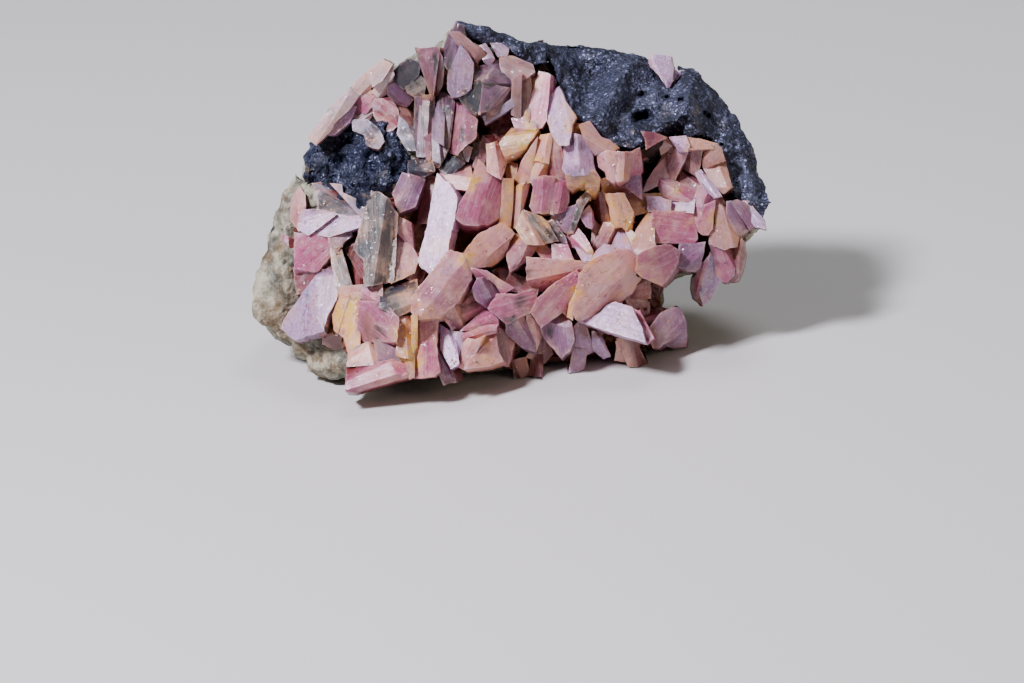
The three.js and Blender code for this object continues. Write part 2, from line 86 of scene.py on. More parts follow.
def linear(code):
    """An sRGB hex colour as linear red, green, blue and alpha."""
    parts = [int(code[i : i + 2], 16) / 255 for i in (1, 3, 5)]
    return [c / 12.92 if c <= 0.04045 else ((c + 0.055) / 1.055) ** 2.4 for c in parts] + [1.0]


def add_node(material, kind, links=None, **settings):
    """A shader node with its settings, and its inputs linked or given values."""
    tree = material.node_tree
    made = tree.nodes.new(kind)
    for key, value in settings.items():
        setattr(made, key, value)
    for name, value in (links or {}).items():
        if isinstance(value, bpy.types.NodeSocket):
            tree.links.new(value, made.inputs[name])
        else:
            made.inputs[name].default_value = value
    return made


def new_material(name, shader_of, **settings):
    """A material, with the shader that a function makes in it."""
    made = bpy.data.materials.new(name)
    made.use_nodes = True
    made.node_tree.nodes.clear()
    shader = shader_of(made, **settings).outputs["BSDF"]
    add_node(made, "ShaderNodeOutputMaterial", {"Surface": shader})
    return made


def table_paint(material):
    """Pale matt paint, with nothing in it for the eye to rest on."""
    return add_node(material, "ShaderNodeBsdfPrincipled", {
        "Base Color": linear("#C9C7C4"), "Roughness": 0.6})


floor.data.materials.append(new_material("pale_table_paint", table_paint))


def area_light(name, place, size, power, colour):
    """A square soft light that looks at the middle of the specimen."""
    bpy.ops.object.light_add(type="AREA", location=place)
    lamp = bpy.context.object
    lamp.name = name
    lamp.data.size = size
    lamp.data.energy = power
    lamp.data.color = linear(colour)[:3]
    aim = Vector((0, 0, 0.02)) - Vector(place)
    lamp.rotation_euler = aim.to_track_quat("-Z", "Y").to_euler()


area_light("key_light", (-0.30, -0.26, 0.46), size=0.1, power=8.4, colour="#F4F1FF")
area_light("side_light", (0.42, -0.30, 0.22), size=0.2, power=0.55, colour="#FFE6CF")
area_light("top_light", (0.10, 0.16, 0.50), size=0.22, power=1.1, colour="#F4F7FF")

studio = bpy.data.worlds.new("studio")
studio.use_nodes = True
sky = studio.node_tree.nodes["Background"].inputs
sky["Color"].default_value = linear("#E8ECF2")
sky["Strength"].default_value = 0.12
bpy.context.scene.world = studio

# ---- Crystals --------------------------------------------------------------------------------
# Inesite grows as blocky crystals side by side, with silky lines along each. They broke open in
# one face, and all are grown together; nothing holds them but each other and the host rock.


def table(text, columns=3):
    """Rows of numbers, with so many to a row."""
    return np.array(text.split(), dtype=float).reshape(-1, columns)


# How far out the crystals' faces lie: across, up, out.
FACE_MARKS = table("""
-32 6 2.2  -30 9 4  -30 17 2.4  -28 6 7  -24 -.5 7  -27 22 3.4  -24 24.5 5.5  -21 28.5 3
-18.5 31.5 1.5  -20 22 8.6  -16.5 26.5 7.5  -14 33 4.5  -25 12.5 10.4  -25 6 10.4  -21 3 12.6
-21 11 11.5  -23.5 17 9.6  -20 -3 18  -17 4 18  -12 -1 17.4  -13 6 17.4  -8 1.5 16  -8 9 18
-4.5 12 17.2  -4 3 14.8  -2.5 8 14.5  -16.6 19 13.4  -16.6 11 15.4  -12 17 12  -9 14 12.6
-9.5 24 11  -9 31 8.4  -8 36 9.8  -5 40 11  -1.5 39 9.6  -3 33.5 13  -2.5 28 11  -4 20 12.4
-.5 25 12  3 31 11.4  3.5 23 12  1.6 16.5 10.4  -.5 13 13.2  6.5 15 10.4  5 10.5 13  1 6 13.2
4 1.5 7.5  7 6.5 12.6  11.5 9.2 13.4  12 4.5 13  16.4 2.6 12.2  12 .5 5.5  16 6.5 8  20 3.5 3
22 1.5 .5  8.3 24 13  13.5 23.5 13  11 18 9.6  16.5 23.4 5  19 24.5 6.2  20.4 20.6 6.6  20 16 10
17.6 11 12.6  17.2 17.6 9  22 11.8 8.6  24 16.5 7.6  25.5 23 7  28 12 7  29 17.5 8.4  24.4 8 3.4
9 28.8 13.6  16 27 13.4  21 29 12  26 27 10.4  27.6 21 10.6  32.6 17.6 11.2  31 22 8  28 29 5
24 33 4  12 32 12  6.4 33 9.4  17 34.5 5  10 36.4 2.4  20 37 -.5
""")
BLEND_WIDTH = 0.6  # mm2, which keeps a single mark from making a spike


def face_out(across, up):
    """How far out the face lies, blended from the nearby marks."""
    gap = (across - FACE_MARKS[:, 0]) ** 2 + (up - FACE_MARKS[:, 1]) ** 2
    near = 1 / (gap + BLEND_WIDTH) ** 2
    return float((near * FACE_MARKS[:, 2]).sum() / near.sum())


# Each tone is a colour, then how rusty and how sooty the crystal is. The lilac white of l is
# partly a painted highlight, and the red brown of r partly painted shade.
TONES = {
    "l": ("#CB9ED6", 0.1, 0.0), "p": ("#BE5080", 0.28, 0.08), "c": ("#DA9690", 0.5, 0.05),
    "t": ("#C07088", 0.4, 0.12), "r": ("#8A3340", 0.3, 0.0), "g": ("#74685A", 0.35, 0.9),
    "v": ("#8E5A88", 0.1, 0.28), "y": ("#D99B74", 1.0, 0.15), "o": ("#BC6128", 1.2, 0.1),
    "k": ("#3F4052", 0.05, 1.9), "w": ("#8F8DA0", 0.15, 0.75), "m": ("#C03F80", 0.1, 0.0),
    "e": ("#9E9A90", 0.35, 0.6), "b": ("#CBB0AC", 0.35, 0.15),
}


def tone_of(letter, rng):
    """A crystal's own colour, rust and soot."""
    code, rust, soot = TONES[letter.lower()]
    return np.array([*(np.array(linear(code)[:3]) * rng.uniform(0.85, 1.12)), rust, soot])


# Where smoke-black oxide and orange rust stain the crystals: across, up, radius.
SMOKED = table("""
-14 8.9 2  -16.2 7 1.4  -18.2 13.5 1.8  -20.4 13 1.4  .8 10.2 2  5.2 15 1.2  -4.6 32 1.6
8 26.6 1.1  7.6 23 1  -7.5 24.4 1.8  -10.5 24 2  1.4 6.4 1.3  -.4 5 1.2  5 2.6 1.2  8.8 18.6 1.3
-14 25.5 2.4  -9.4 31 1.4  -6.8 27.4 1.3  -12.6 29 1.8  -15.8 18 1.8  -22 16.4 1.2
-24.6 19.6 1.4  -3 34 1.3  -16.4 3 1.1  -9.3 36.6 1.3
""")
RUSTED = table("""
-.6 17 1.8  .2 26.8 1.3  8.2 8 1.4  12.6 21.8 1.6  13.4 18 1.8  4.4 17.2 1.2  -4.6 21.6 1.2
-13.5 3 1.8  -12 0 1.6  7.6 29 1.6  11 26 1.6  -3 1 1.4  7 10.4 1.2  10.2 21.3 1.4  20.5 20.6 .8
15.5 19.4 1.6  25.3 17.5 1  -20.4 6 1.8  -8.6 3 1.4  -6 12 1.4  2.6 29 1.4  3 24 1.4  1.4 20 1.2
14.8 14 1.2  -27.6 18 1.4  -22 3 1.6  9.4 12.6 1.2  22.4 17 .9  -2.6 10 1.2  -17.2 5.6 1.4
""")


def gaps_to(places, across, up):
    """How far each place of a table is from one place."""
    return np.hypot(across - places[:, 0], up - places[:, 1])


def stain_at(stains, across, up):
    """How strongly a place is stained: fully in the middle of a stain, and less and less from a
    third of its radius outwards, with a wobbly edge."""
    gap = float((gaps_to(stains, across, up) / stains[:, 2]).min())
    wobble = 0.5 * patterns.noise(Vector((across, up, 0.0)) * 0.9)
    return min(1.0, max(0.0, 1.35 - 1.1 * gap - wobble))


# Where the crystals are darker, partly in their own smoky tone and partly as painted shade where
# less light reaches them: across, up, radius and how much of their lightness is left.
SHADED_AREAS = table("""
-6.5 34 8.5 .54  24.5 17 9 .74  -24 10 6.5 .87  12 24 5 .88  19.5 36 3 .8
""", columns=4)


def lightness(across, up):
    """How much of a crystal's lightness is left at a place, under its darker tone and painted
    shade.
    """
    near = gaps_to(SHADED_AREAS, across, up) < SHADED_AREAS[:, 2]
    return float(SHADED_AREAS[near, 3].min(initial=1.0))


# The crystals, each by the outline of its broken face: tone, rise above the face, how far its
# back is shifted across and up, depth, then the outline, all in mm. A line that starts with a
# letter starts a crystal. A capital one has a whole face, flat or, for C, T and P, with one long
# crease. Tones: l lilac white, lighter partly as a painted highlight on faces turned to the light,
# p pink, m deep pink, c cream, t tan, r red brown, darker partly as painted shade on faces turned
# away, v violet, y yellow stained, o orange, b bleached, g grey green, e grey, w grey violet,
# k smoke black.
SLABS = """
l .4 .6 -.6 3.5 -28.4 4.6 -22.7 12.3 -22 10.6 -22 7.4 -23.2 5.2 -23.6 3.4 -27.2 2.3 -28.7 3.6
r -.3 .2 -.4 3 -27.2 11 -26.8 8 -25.8 8.2 -23.8 10.8 -24.6 11.2
M .3 .2 -1.2 3 -27 15.3 -27 11.2 -24.4 10.8 -22.6 13 -22.9 15 -24.5 15.3
l .3 .2 -.4 3 -26.2 18.2 -25 18.3 -23 18 -20.5 17.3 -18.6 17.5 -18.9 16.4 -22.8 15.2 -25.4 15.4
 -26.6 16
c .1 .3 0 3 -27.6 19.8 -26.7 21 -26.2 20.4 -26.1 18.6 -26.4 17.2 -26.8 16.2 -27.7 17.2
v .2 .2 -.4 3 -22.8 15.2 -22 16 -20.4 16.2 -20.2 15.2 -21 14.6 -22 13.2 -22.7 14
g .2 .2 -.3 3 -21.8 14.4 -20 8.5 -21.6 8.9 -22.3 11.5 -22.6 14.2
g 1 .4 -.3 4 -18.9 15.6 -18.4 17.6 -17.4 20.4 -16.4 20.2 -15.5 19.4 -14.4 17.6 -14.9 9.4 -18.2 9
 -18.2 12 -19.5 13.4
r -1 0 0 3 -19.9 13 -18.9 15.4 -18.4 12.6 -18.4 9 -19.9 8.6
c .1 .1 -.5 3 -21.9 8.5 -18.2 8.8 -17.4 7.6 -21.6 7.3
y .1 .2 -.3 3 -22.2 5.2 -21.4 7.2 -19.1 7.2 -19.1 .9 -20.3 .8 -20.9 2.6 -22 3.4
P .6 .2 -.9 3.4 -19 6.8 -19 2.6 -18.2 2 -14.5 2.1 -14.2 4.8 -15.9 6.5
t .2 .2 -.4 3 -18.4 8.8 -16.3 8.9 -16.3 6.4 -18.8 7
p .4 .2 -.4 4 -20.4 -1 -20.5 -4.2 -19.5 -4.2 -15 -2.9 -12.6 -2.2 -13.2 -.2 -16 -.7
c 0 .1 -.2 3 -20.2 .6 -17.2 2 -16.8 -.8 -20.3 -1
v -.2 .1 -.2 3 -17 1.9 -14.4 1.9 -14.2 -.3 -16.4 -.7
g .3 .2 -.6 3.4 -16.2 8.2 -12 9.4 -11.9 8.4 -12.1 6.2 -12.9 5.8 -14.2 5.2 -16.2 6.2
T 1 .7 -.5 3.2 -12.3 5.6 -12 7.8 -10.3 9.8 -8.1 12.8 -7.5 13 -5 12.3 -5.2 9.8 -6.8 7 -9.2 5 -11.4
 4.9
c .3 .1 -.2 4 -14.1 4.8 -14.2 -.2 -13.2 -.4 -12.6 -2.5 -12.3 -2.4 -12.2 4.9
p .4 .4 -.2 4 -12 5 -12.1 -2.5 -9.8 -2.2 -9.2 -1.8 -9.6 1.5 -9.4 4.7 -10.2 5
l 0 .2 -.2 2.5 -8.8 3.8 -8.7 1 -7.5 -1.2 -6.8 -.8 -7.2 2.6
l -.2 .2 -.2 2.5 -7.5 3.1 -7.2 -1.2 -6.5 -.6 -6.2 2.8
c .5 .6 -.5 4 -6.3 2.3 -4.5 1.9 -2.8 3 -2.2 2.6 -1.9 .6 -1.4 -.4 -3 -1 -6 -1.3 -6.9 -.9
p .2 .3 -.3 3 -6.4 3.2 -3.4 5.7 -2.4 5.2 -1.9 4.4 -2.2 3.2 -3 2.9 -5 2.2 -6.3 2.3
r -.9 .4 -.3 3 -2 4.9 -.6 4 .1 1.8 -.6 -1 -1.2 -.8 -1.9 .5 -2.2 3
v .6 .4 -.5 3 -.6 4.2 -.6 3 1.2 1.4 2.7 .9 2.9 2.8 1.8 5 .4 5.2
p .3 .3 -.4 3 -2.8 6 -1.8 7.6 .6 7.6 2.3 8.2 3 7.2 2.4 5.8 1 5.2 -.6 4.3
v .6 .2 -.7 3 -4.8 8.2 -4.2 9.6 -2.4 9.9 -1.2 8.2 -2 7 -2.8 6.2 -4.4 7.2
t .1 .2 -.3 3 -4.9 10.9 -3.2 10.5 -1.2 9.2 -.2 8.6 -1.2 8 -2.4 9.9 -4.2 9.7
L 1 .8 -.2 3 -11.5 12 -10.3 16.4 -9.9 19 -9.2 22.4 -8.1 21.5 -7 19.9 -7.4 17 -8 14.6 -8.2 12.9 -9
 11.6 -10 10.5 -11.1 11
r -1.6 0 0 3 -11.1 22.2 -9.3 22.4 -10.5 16.8 -13 16.9
t .2 .3 -.2 3 -14.2 17.3 -14.8 9.4 -12.3 10.6 -11.8 12.2 -12.5 13.6 -12.8 16.6
v .3 .3 -.4 3 -13.6 22.8 -14.7 20.4 -14 18.2 -12.2 18.9 -11.1 22.1
c .2 .1 -.5 3 -8.8 23.1 -5.3 23.8 -5.1 22.2 -5.8 21 -6.8 21.1 -8.3 22
P .8 .3 -1.2 3.5 -4.1 24.2 -5.4 20.6 -6.6 18.6 -6.9 17.4 -5.6 16.5 -2.8 16.7 -1.8 17.6 -1.1 20
 -1.2 22.2 -2.9 23
c .3 .1 -.2 3 -3 26.4 -2.9 23.2 -1.5 22.4 -.7 24.7 -2 26.7
y .4 .5 -.6 3 -1.4 26.6 .1 28.4 2.9 28.1 1.6 26.2 .2 25.1 -.7 24.9
o -1.2 0 0 2 -.8 24.4 .5 23.9 .3 22.2 -1.1 22.4
c .3 .2 0 3 3.2 27.4 1.5 24.6 .6 22.2 .1 19 -.2 16.3 .9 16.2 1.2 18.6 2.1 21.8 2.6 24.8
y .1 .1 0 3 -1 22 -1.1 19 -1.5 16.5 -.4 16.2 -.1 19 0 22
y .6 .2 -.4 3 1.4 18.4 .7 16 1.8 14.2 3.7 14.2 2.6 16.1
e .6 .2 -.4 3 1.6 18.2 2.8 17.6 3.6 17.3 4.3 16.7 5 15.4 5.5 14.6 3.9 14.2 2.8 16
w .2 .3 -.3 3 4.3 17 5 16.9 5.7 15.9 6.4 15 6.6 14.4 5.6 14.5 5 15.5
c .5 .2 -.3 3.4 -5.9 12.7 -4.2 15 -1.5 16.4 -.9 16.5 .1 15.4 -.6 14.5 -.8 12.8 -2.5 11.5 -4.9 11.2
t .3 .2 -.4 3 .4 15.2 3.1 13.8 1.8 12.1 -.1 10.9 -.5 12.4 -.6 14.2
v .4 .1 -.2 3 -12 32.4 -12.1 28.5 -11.7 25.1 -10.9 25.2 -11 28.5 -11.1 32.6
p .6 .1 -.2 3 -11 32.6 -10.9 28.4 -10.6 25 -10.1 24 -9.9 27 -9.9 32.6
l .8 .3 -.2 3.4 -9.8 32.8 -9.8 27 -9.7 23.9 -9.2 23.8 -8.8 24.6 -8.7 28 -8.6 33
v .5 .3 -.2 3 -8.5 32.8 -8.6 27 -8.4 25 -8 26.2 -7.7 29 -7.3 32.2
p .3 .2 -.2 3 -7.2 31.9 -8.2 27.4 -7.9 25.8 -6.9 25.4 -5.9 26.5 -4.7 27.4 -4.5 29.5 -5.6 31
k .2 .2 -.4 3 -8.1 25.7 -6.6 25.5 -6.1 24.2 -7.6 22.9 -8.4 23 -9 23.6
w 0 .1 -.2 3 -6.5 26.4 -5.2 26 -5.6 24.6 -6.4 24.8
k 0 .1 -.3 3 -12.8 24.4 -10.3 24.9 -9.8 23.3 -11 22.6 -12.8 23
w 0 .2 -.3 3 -14 29.8 -12.2 28.2 -12 26 -13 26 -14.2 28
g .2 .3 -.4 3 -6.4 32.2 -5.2 33.6 -4.1 34.4 -3.5 34 -3.6 32.4 -4 31 -4.6 30.5 -5.4 31
v .5 .4 -.5 3.4 -3.5 34.4 -2.2 35.7 -1.6 35.4 -.9 35 -.1 34 -.7 33 -1.6 31.9 -2.9 30.9 -3.9 30.6
 -3.6 32.4
r .1 .1 -.2 3 -2.9 30.9 -1.6 31.9 -.7 33 -.1 33.9 .1 33 0 31.6 -1.6 30.7 -3 29.9
l -.1 .1 -.2 2 -3.4 29.9 -1.6 30.8 -.1 31.9 .1 31.4 -1.8 30.1 -3.2 29.3
v .2 .2 0 3.4 -7.7 40.4 -7.2 41 -6.9 41.6 -6.2 41.2 -6.1 40.4 -6.4 38.6 -7.3 36.4 -7.8 35.8 -8.6
 37.2 -8.2 39.2
l .5 .3 -.3 3.4 -6.4 38.6 -5.6 37.6 -5 36.6 -5.1 34.8 -5.3 33.6 -6 32.9 -7.4 32.6 -7.9 33.6 -7.8
 35.8 -7.3 36.4
c .6 .2 -.4 3 -7.6 40.4 -6.6 40.3 -5.9 39.8 -5 39 -3.9 38.4 -3.5 37.6 -4.2 37.2 -4.5 36.6 -5.2
 37.1 -5.8 37.8 -6.4 38.7
l .2 .2 -.2 2.5 -3.9 38.7 -3.4 38.9 -2.8 38.1 -2.4 37.2 -2.8 36.5 -3.4 37 -3.7 37.9
v -.4 0 0 2.5 -4.9 36.6 -3.8 36.1 -3 36.1 -1.4 37.2 -1.1 36 -2.1 35.7 -3.4 35 -4.4 34.4 -4.8 35.4
l 0 .1 -.2 2.5 -2.5 39.1 -1.4 39 -.6 38.4 -.8 37.6 -1.6 37.6 -2 38.4
c .3 .2 -.5 3 -1.4 37.2 -.7 37.6 .4 37.3 1.4 36.8 2.4 36.4 2.6 35.6 1.6 34.8 .6 34.6 -.3 34.8 -1
 35.4 -1.3 36.2
c .6 .4 0 3.4 .2 34.5 1 34.9 2.1 34.8 2.3 33.6 1.9 31.8 1.6 30 .8 30 .1 30.3 .1 32
o -.3 0 0 3 2.1 34.8 2.8 34.6 2.9 33.4 2.4 31.6 2 29.6 1.7 30 2 31.8
p .5 .3 -.2 3.4 3.5 35.4 4.9 35 4.9 33 4.3 31 4.1 29.6 3.6 28.7 2.9 28.8 2.1 30.5 2.4 32 3 33.6
l .8 .5 -.2 4 4.2 31.8 5.8 33.4 6.6 31.6 7.8 29.9 7.3 29 7.2 28 6.9 26.6 6 26.5 5.1 27.8 4.6 29.5
t .3 .1 -.4 3 .2 29.6 1.6 29.8 3.3 28.8 3.1 28.3 1.6 28.2 .5 28.5
o -.9 0 0 2.5 7 28.9 8.8 28.9 8.6 27.6 7.2 27.3
c .4 .2 -.4 3 8.6 28.7 9.6 29.1 10.2 28.3 11 27.2 12.2 26.8 13 26.1 12.2 25.5 11 25.6 10.4 25.4
 9.6 26.3 9 27.5
v -.4 .2 -.2 3 -15.4 34.2 -14.6 34.6 -13.4 33.4 -12.6 32.4 -13.2 31.6 -14.8 32 -15.4 33
k -.1 .1 -.2 3 -14.8 35.6 -14 36.6 -12.8 37.2 -11.7 36.6 -11.9 35.4 -12.8 34.4 -13.6 33.8 -14.7
 34.6
e 0 .1 -.3 3 -13.2 33.9 -12.4 34.6 -11.5 35 -11 34.4 -11.2 33 -12.2 32.8 -13 33.3
t .1 .3 -.2 3.4 -11.9 38.5 -10.6 38.4 -9.3 38.6 -8.9 37.4 -8.7 36 -8.9 34 -9.6 32.7 -10.2 33.2
 -10.9 35.4 -11.5 37.2
r 0 .2 -.2 3 -17.4 32.2 -15.4 32.4 -14.5 31 -14.3 29.4 -15.2 28.4 -16.2 28.6 -17.2 30.4
w 0 .2 -.4 3 -20 29.6 -18.2 29.6 -16.8 28.4 -16.2 27 -16.8 26.2 -18 26.6 -18.4 28 -19.8 28.6
w 0 .2 -.4 3 -24.8 21.6 -23.4 21.8 -21.5 21.4 -21.4 20.4 -18.9 19.2 -18.4 18.6 -18.6 17.8 -21.6
 17.4 -23 18.2 -24.2 18.6 -24.2 20.2
c .7 .2 -.3 4 3.7 27.5 4.9 27.6 4.4 24.5 4.2 22.4 2.5 22 3 25.4
r .2 .3 -.2 4 4.9 27.6 5.8 26.5 6.6 23.8 6.9 22 4.3 22.4 4.5 24.5
p .8 .3 -.6 4 2.5 22 4.2 22.4 6.9 22 6.9 19.4 6.5 18.4 5.6 18.1 2.8 18.1 2.4 18.8 2.9 21.1
l .7 .3 -.5 4 6.9 27 7.6 27.6 8.9 27.4 9.7 26.2 9.9 24.4 10.2 23.2 9 22.9 7 22.6 6.5 23.5 6.3 25.2
 6.6 26.3
y .6 .1 -.6 4 6.9 22.5 9 22.8 10.2 23.1 10.8 22.3 10.7 21.4 10.3 20.3 9.9 20.4 9.4 21 9 21.5 8.2
 21.4 7.5 20.9 7.1 21.2
c .7 .2 -.5 4 10.8 25 11.9 25.5 13.2 25.3 12.8 24 13 22.6 12.6 21.9 12 22.3 11.8 23.2 11 23.8
c .8 .1 -.5 4 13.3 25.4 14.4 25.3 14.6 23.6 14.4 22.4 13.2 22 12.9 23.2
p .9 .3 -.3 4 14.5 25.2 15.8 25.8 16 24.6 16.1 23.3 15.9 22.9 14.5 22.4 14.7 23.6
l .9 .4 -.2 4 14.4 22.3 15.9 22.8 16 20 15.2 20.6 14.4 21.4
r -.6 0 0 3 11.2 22 12.2 22.2 14.2 21.6 14.6 20.6 12.6 20.3 11.6 20.6
t .3 .4 -.2 3.6 16.5 20.7 17 21.8 18 23.4 19 25 19.6 25.9 22 25.9 21.2 24.2 20.2 22.1 18.3 22.7 18
 21.5
r -.3 .2 -.2 3.6 22.1 26 23.6 25.6 23.4 24 23.1 23 23.6 21.6 23.2 20.9 20.3 22 21.3 24.2
p .6 .2 -.5 3.4 18.3 22.6 20 22 23.2 20.8 23.1 20 22 19.5 20 19.8 18.9 20.3 18.6 21.3
l .5 .2 -.4 3 17.1 19.9 18.5 19.8 19.7 19.4 19.7 18.4 17.2 18.4
l .4 .2 -.4 3 19.8 19.6 22 19.4 22.8 19.8 22.5 18.2 19.8 18.3
o -.6 0 0 3 14.6 20.6 16.2 20.2 18.8 20.3 18.6 19.9 17 19.8 17 18.2 14.9 17.8 14.6 19
M .8 .2 -.7 4 17.7 18 22.5 18 22.5 17 22.9 15.7 23 14.8 22.7 14.4 18 14.4 17.7 15.5
c .4 .2 -.2 4 15.4 15.2 16.2 16.6 17.2 17.9 17.6 17.8 17.6 14.4 17.8 13.6 15.8 12.6 15.1 13.8
p .8 .6 -.3 4 15.8 12.6 17.8 13.6 19.8 13.8 20.8 13 20.5 11.8 20 10.9 19.4 10 18.6 9.1 17.4 9.6
 16.1 10.2 15.6 10.8
v .2 .3 -.4 4 21.1 13.9 22.6 13.9 23.9 14.1 23.7 12.6 23.4 11.2 22.9 10.9 21.9 11 20.8 11.4 20.4
 11.5 20.9 12.4
L .5 -.3 0 3.4 24.9 12.8 25.4 12.4 25.6 10.6 25.9 9.6 25.4 8.4 24.7 7.2 24.1 6.8 23.7 8.2 23.7 9.6
 24.3 11.4
p 0 -.4 0 3 24.8 12.8 24.2 11.4 23.6 9.6 23.6 8.2 24 6.5 23.3 7.4 23 8.6 23.1 9.8 23.8 11.4
c .3 .3 -.2 4 25.5 19.8 26.1 19.9 26.8 18.6 27.1 17.3 28.3 15.3 28 14 26.5 13.6 24.9 14.2 24.9
 15.4 25.6 16.6 25.6 18
p .6 .3 -.3 4 24.9 14.1 26.5 13.5 27.9 13.4 28 12 27.6 10.2 27 9.6 26.4 9.6 25.8 10.2 25.7 11.5
 25.2 13
r -.2 .2 -.2 4 28 14 28.3 15.2 29 14.2 29.2 13 28.9 11.6 28.6 10.4 28.2 9.7 27.2 9.6 27.7 11 28.1
 12.5
p .8 .4 -.3 3.6 23.6 21.3 24.3 21.6 25.2 20.4 25.2 19 25 17.6 24.9 16 24.4 15.4 23.9 15.4 23 16.1
 22.7 17.4 22.5 18.6 22.9 19.6 23.3 20.6
o -.5 0 0 2.6 25.2 20 25.5 19.4 25.6 17 25.1 15.4 24.9 16.4 25.1 18
c .5 .4 -.3 3.6 24.2 26.3 25.4 26.4 26 26 26.4 24.6 27 22.5 27.3 21.3 26.4 20.6 25.4 21.6 24.6
 22.8 24 24 24.2 25.4
l .7 .2 -.2 3 23.1 23.1 23.6 23.2 24.6 22 25.5 20.9 25.9 20.2 25.3 20.1 24.4 20.9 23.7 21.8
v .5 .3 -.4 3.4 27 19.2 28.2 19.4 29 19.1 29.3 18.6 29.9 17.6 30 16.4 29.3 15.9 28.5 15.2 28.2
 15.6 27.6 16.6 27 17.9
l .5 .3 -.2 3 29.2 19.3 29.6 19.3 30.2 18.3 31.2 17.2 31.4 16.2 30.5 16.4 30.1 16.9 29.7 18
r -1.4 0 0 3 9.9 19.4 11.3 20.6 12.2 19.4 12.4 17 12.8 16 12.4 13.8 11.6 12.8 10 12.8 10.2 15.5
 10.1 17.6
y .6 .3 -.4 3.6 11.8 20.2 12.8 20.2 13.9 20.2 14.4 19.2 15 18 14.9 16.9 14.8 15.6 14.3 15.9 13.8
 16.4 13 16.3 12.6 17 12.3 18.8
l -.3 .2 -.2 3 12.8 16.2 13.8 16.3 14.4 15.3 15 14 15.2 12.8 14.4 13.2 13.6 13.4 12.7 13.6
c 0 .1 -.1 3 13.9 16.3 14.9 15.6 15.3 15.2 15.1 13.8 15.6 12.4 15.3 12.9 15 14.4
v .2 .2 0 3 8.7 17.6 9.6 18.6 9.9 18 10.1 16.6 9.9 16.2 9.4 16.4
v .2 .2 -.2 3 5 17.3 5.6 17.7 6.3 18.3 7.2 18.5 8.2 18.9 8 17 7.5 16 7.1 15.5 6 16 5.1 16.7
g .3 .2 -.2 3 8.3 19.4 9.3 20.4 9.7 20.2 8.8 18.9 8.3 17.6 7.5 15.6 7.2 15.5 7.7 16.8 8.1 18.3
p .2 .2 -.3 3 6.5 15 7.2 15.5 7.9 16.2 9 14.9 9.9 13.2 10 12.6 9 13.2 8.1 13.7 6.7 14.2
p 0 .2 -.2 3 5.2 13.9 6.8 13.8 7.4 12.3 6.4 12 5.2 12.1
L 1 .5 -.5 3 8.4 4.5 11.2 5.3 11.9 6.3 12.9 6.6 14.8 6 15.2 5 15.9 3.6 16.3 2.1 12.2 3.3
p .6 .3 -.2 3 14.9 6 15.8 5.6 16.6 4 17.4 2.4 16.8 1.9 16.5 2.1 16 3.6 15.3 5
C .7 .3 -.4 4 7.6 5.3 8.6 10.3 9.8 11.8 13.2 13.3 14.6 13.2 15.8 11.9 15.2 10 15.8 9.7 14.8 8.1
 12.8 6.7 11 5.7 8.6 4.7
p .4 .2 -.3 3.5 2.6 5.6 3.2 7 5.2 8.9 8 10.5 8.3 10.2 8 8.6 7.3 6.7 7 5.2 6.3 5.8 4.6 4.6 3.7 3.9
c .4 .2 -.4 4 2 12.2 4.8 12 8.4 11.8 9.8 11.6 8.2 10.8 5.9 9.3 4.2 8.2 2.9 8.4 2 9.6
v .6 .3 -.4 3.6 3.7 3.5 5.1 5.2 6.4 5.8 7.2 4.2 7.6 2.2 7.1 .9 6.2 .1 5.3 1.2 4.3 2.2
r -.9 .1 -.2 3 2.9 1 3.3 3.4 4.2 2.2 4.9 .4 4 -.6 2 0
c .2 .1 -.2 3 2 5 2.4 5 3.4 3.8 3.7 3.2 2.9 .9 2 1.4
l -1 .1 -.2 2.5 10.2 3 10.9 2.9 12.1 .2 11.5 0 10.3 1
c -1.1 .2 -.3 3 13.9 2.8 16.1 2.1 15.2 .6 14.2 -.5 13.1 -.3 13.3 1 13.2 1.8
r -1.2 .2 -.2 3 13.2 6.8 16.6 9.6 17.1 9.4 17.1 4.2 16.2 5.2 15 6.3
v 0 .3 -.4 3.4 17.4 3.6 18.8 5.4 20.2 6 20.9 5.9 21.5 4.8 21.8 2.8 21.8 1.5 20.2 1.3 18.8 1.9 18.6
 1.2 17.8 1.3 17.3 2.4
l .4 .1 -.3 3 9.8 11.9 11.6 12 12.6 13.6 11.6 13.9 10.4 12.8
l .2 .1 -.2 3 8.1 13.7 9.5 13.9 9.9 12.2 8.9 12.1
l .1 .3 0 2.4 17.9 37.9 19.8 37.7 20 36.6 20.6 35.8 21.5 36 20.8 35.2 20 34.8 19.6 33.8 19.1 34.8
 18.4 35.8 17.6 36.6 17.4 37.3
p -.5 0 0 2.5 16.4 27.9 17.8 27.8 19.2 27.4 18 26.9 16.9 26.2 16.8 27.2
t -.3 .1 -.3 2.5 18.5 27 19.4 27.1 20.2 26.2 20.5 25.8 19.9 25.8 19.4 26 18.8 25.6
l .2 .1 -.4 2.5 20 27.3 21.6 27.4 22 26.4 21.8 25.9 20.9 25.9 20.6 26.6
c .1 .1 -.3 2.5 22.1 27.2 23.6 27 25.4 26.5 25.3 26.2 22.2 26.1
b .3 .4 .2 3 -25.4 27.5 -24.6 26.8 -22.8 28.6 -22.2 30.4 -23 30.9
b .6 .4 .2 3 -23 30.9 -22.3 29.6 -20.6 31.2 -19.4 33 -20.4 33.6
b .3 .3 .2 3 -20.5 33.5 -19.6 32.2 -18.2 33.4 -17.3 35 -17.4 36.2 -18.4 35.4
b .5 .3 .2 3 -17.9 35.8 -17.4 34.2 -16.4 34.8 -15.3 36.6 -16.2 37.1
l 0 .4 -.2 3 -23.6 28 -22.4 28.1 -20.6 29.6 -19.8 31.4 -20.8 31.2 -22.4 29.8
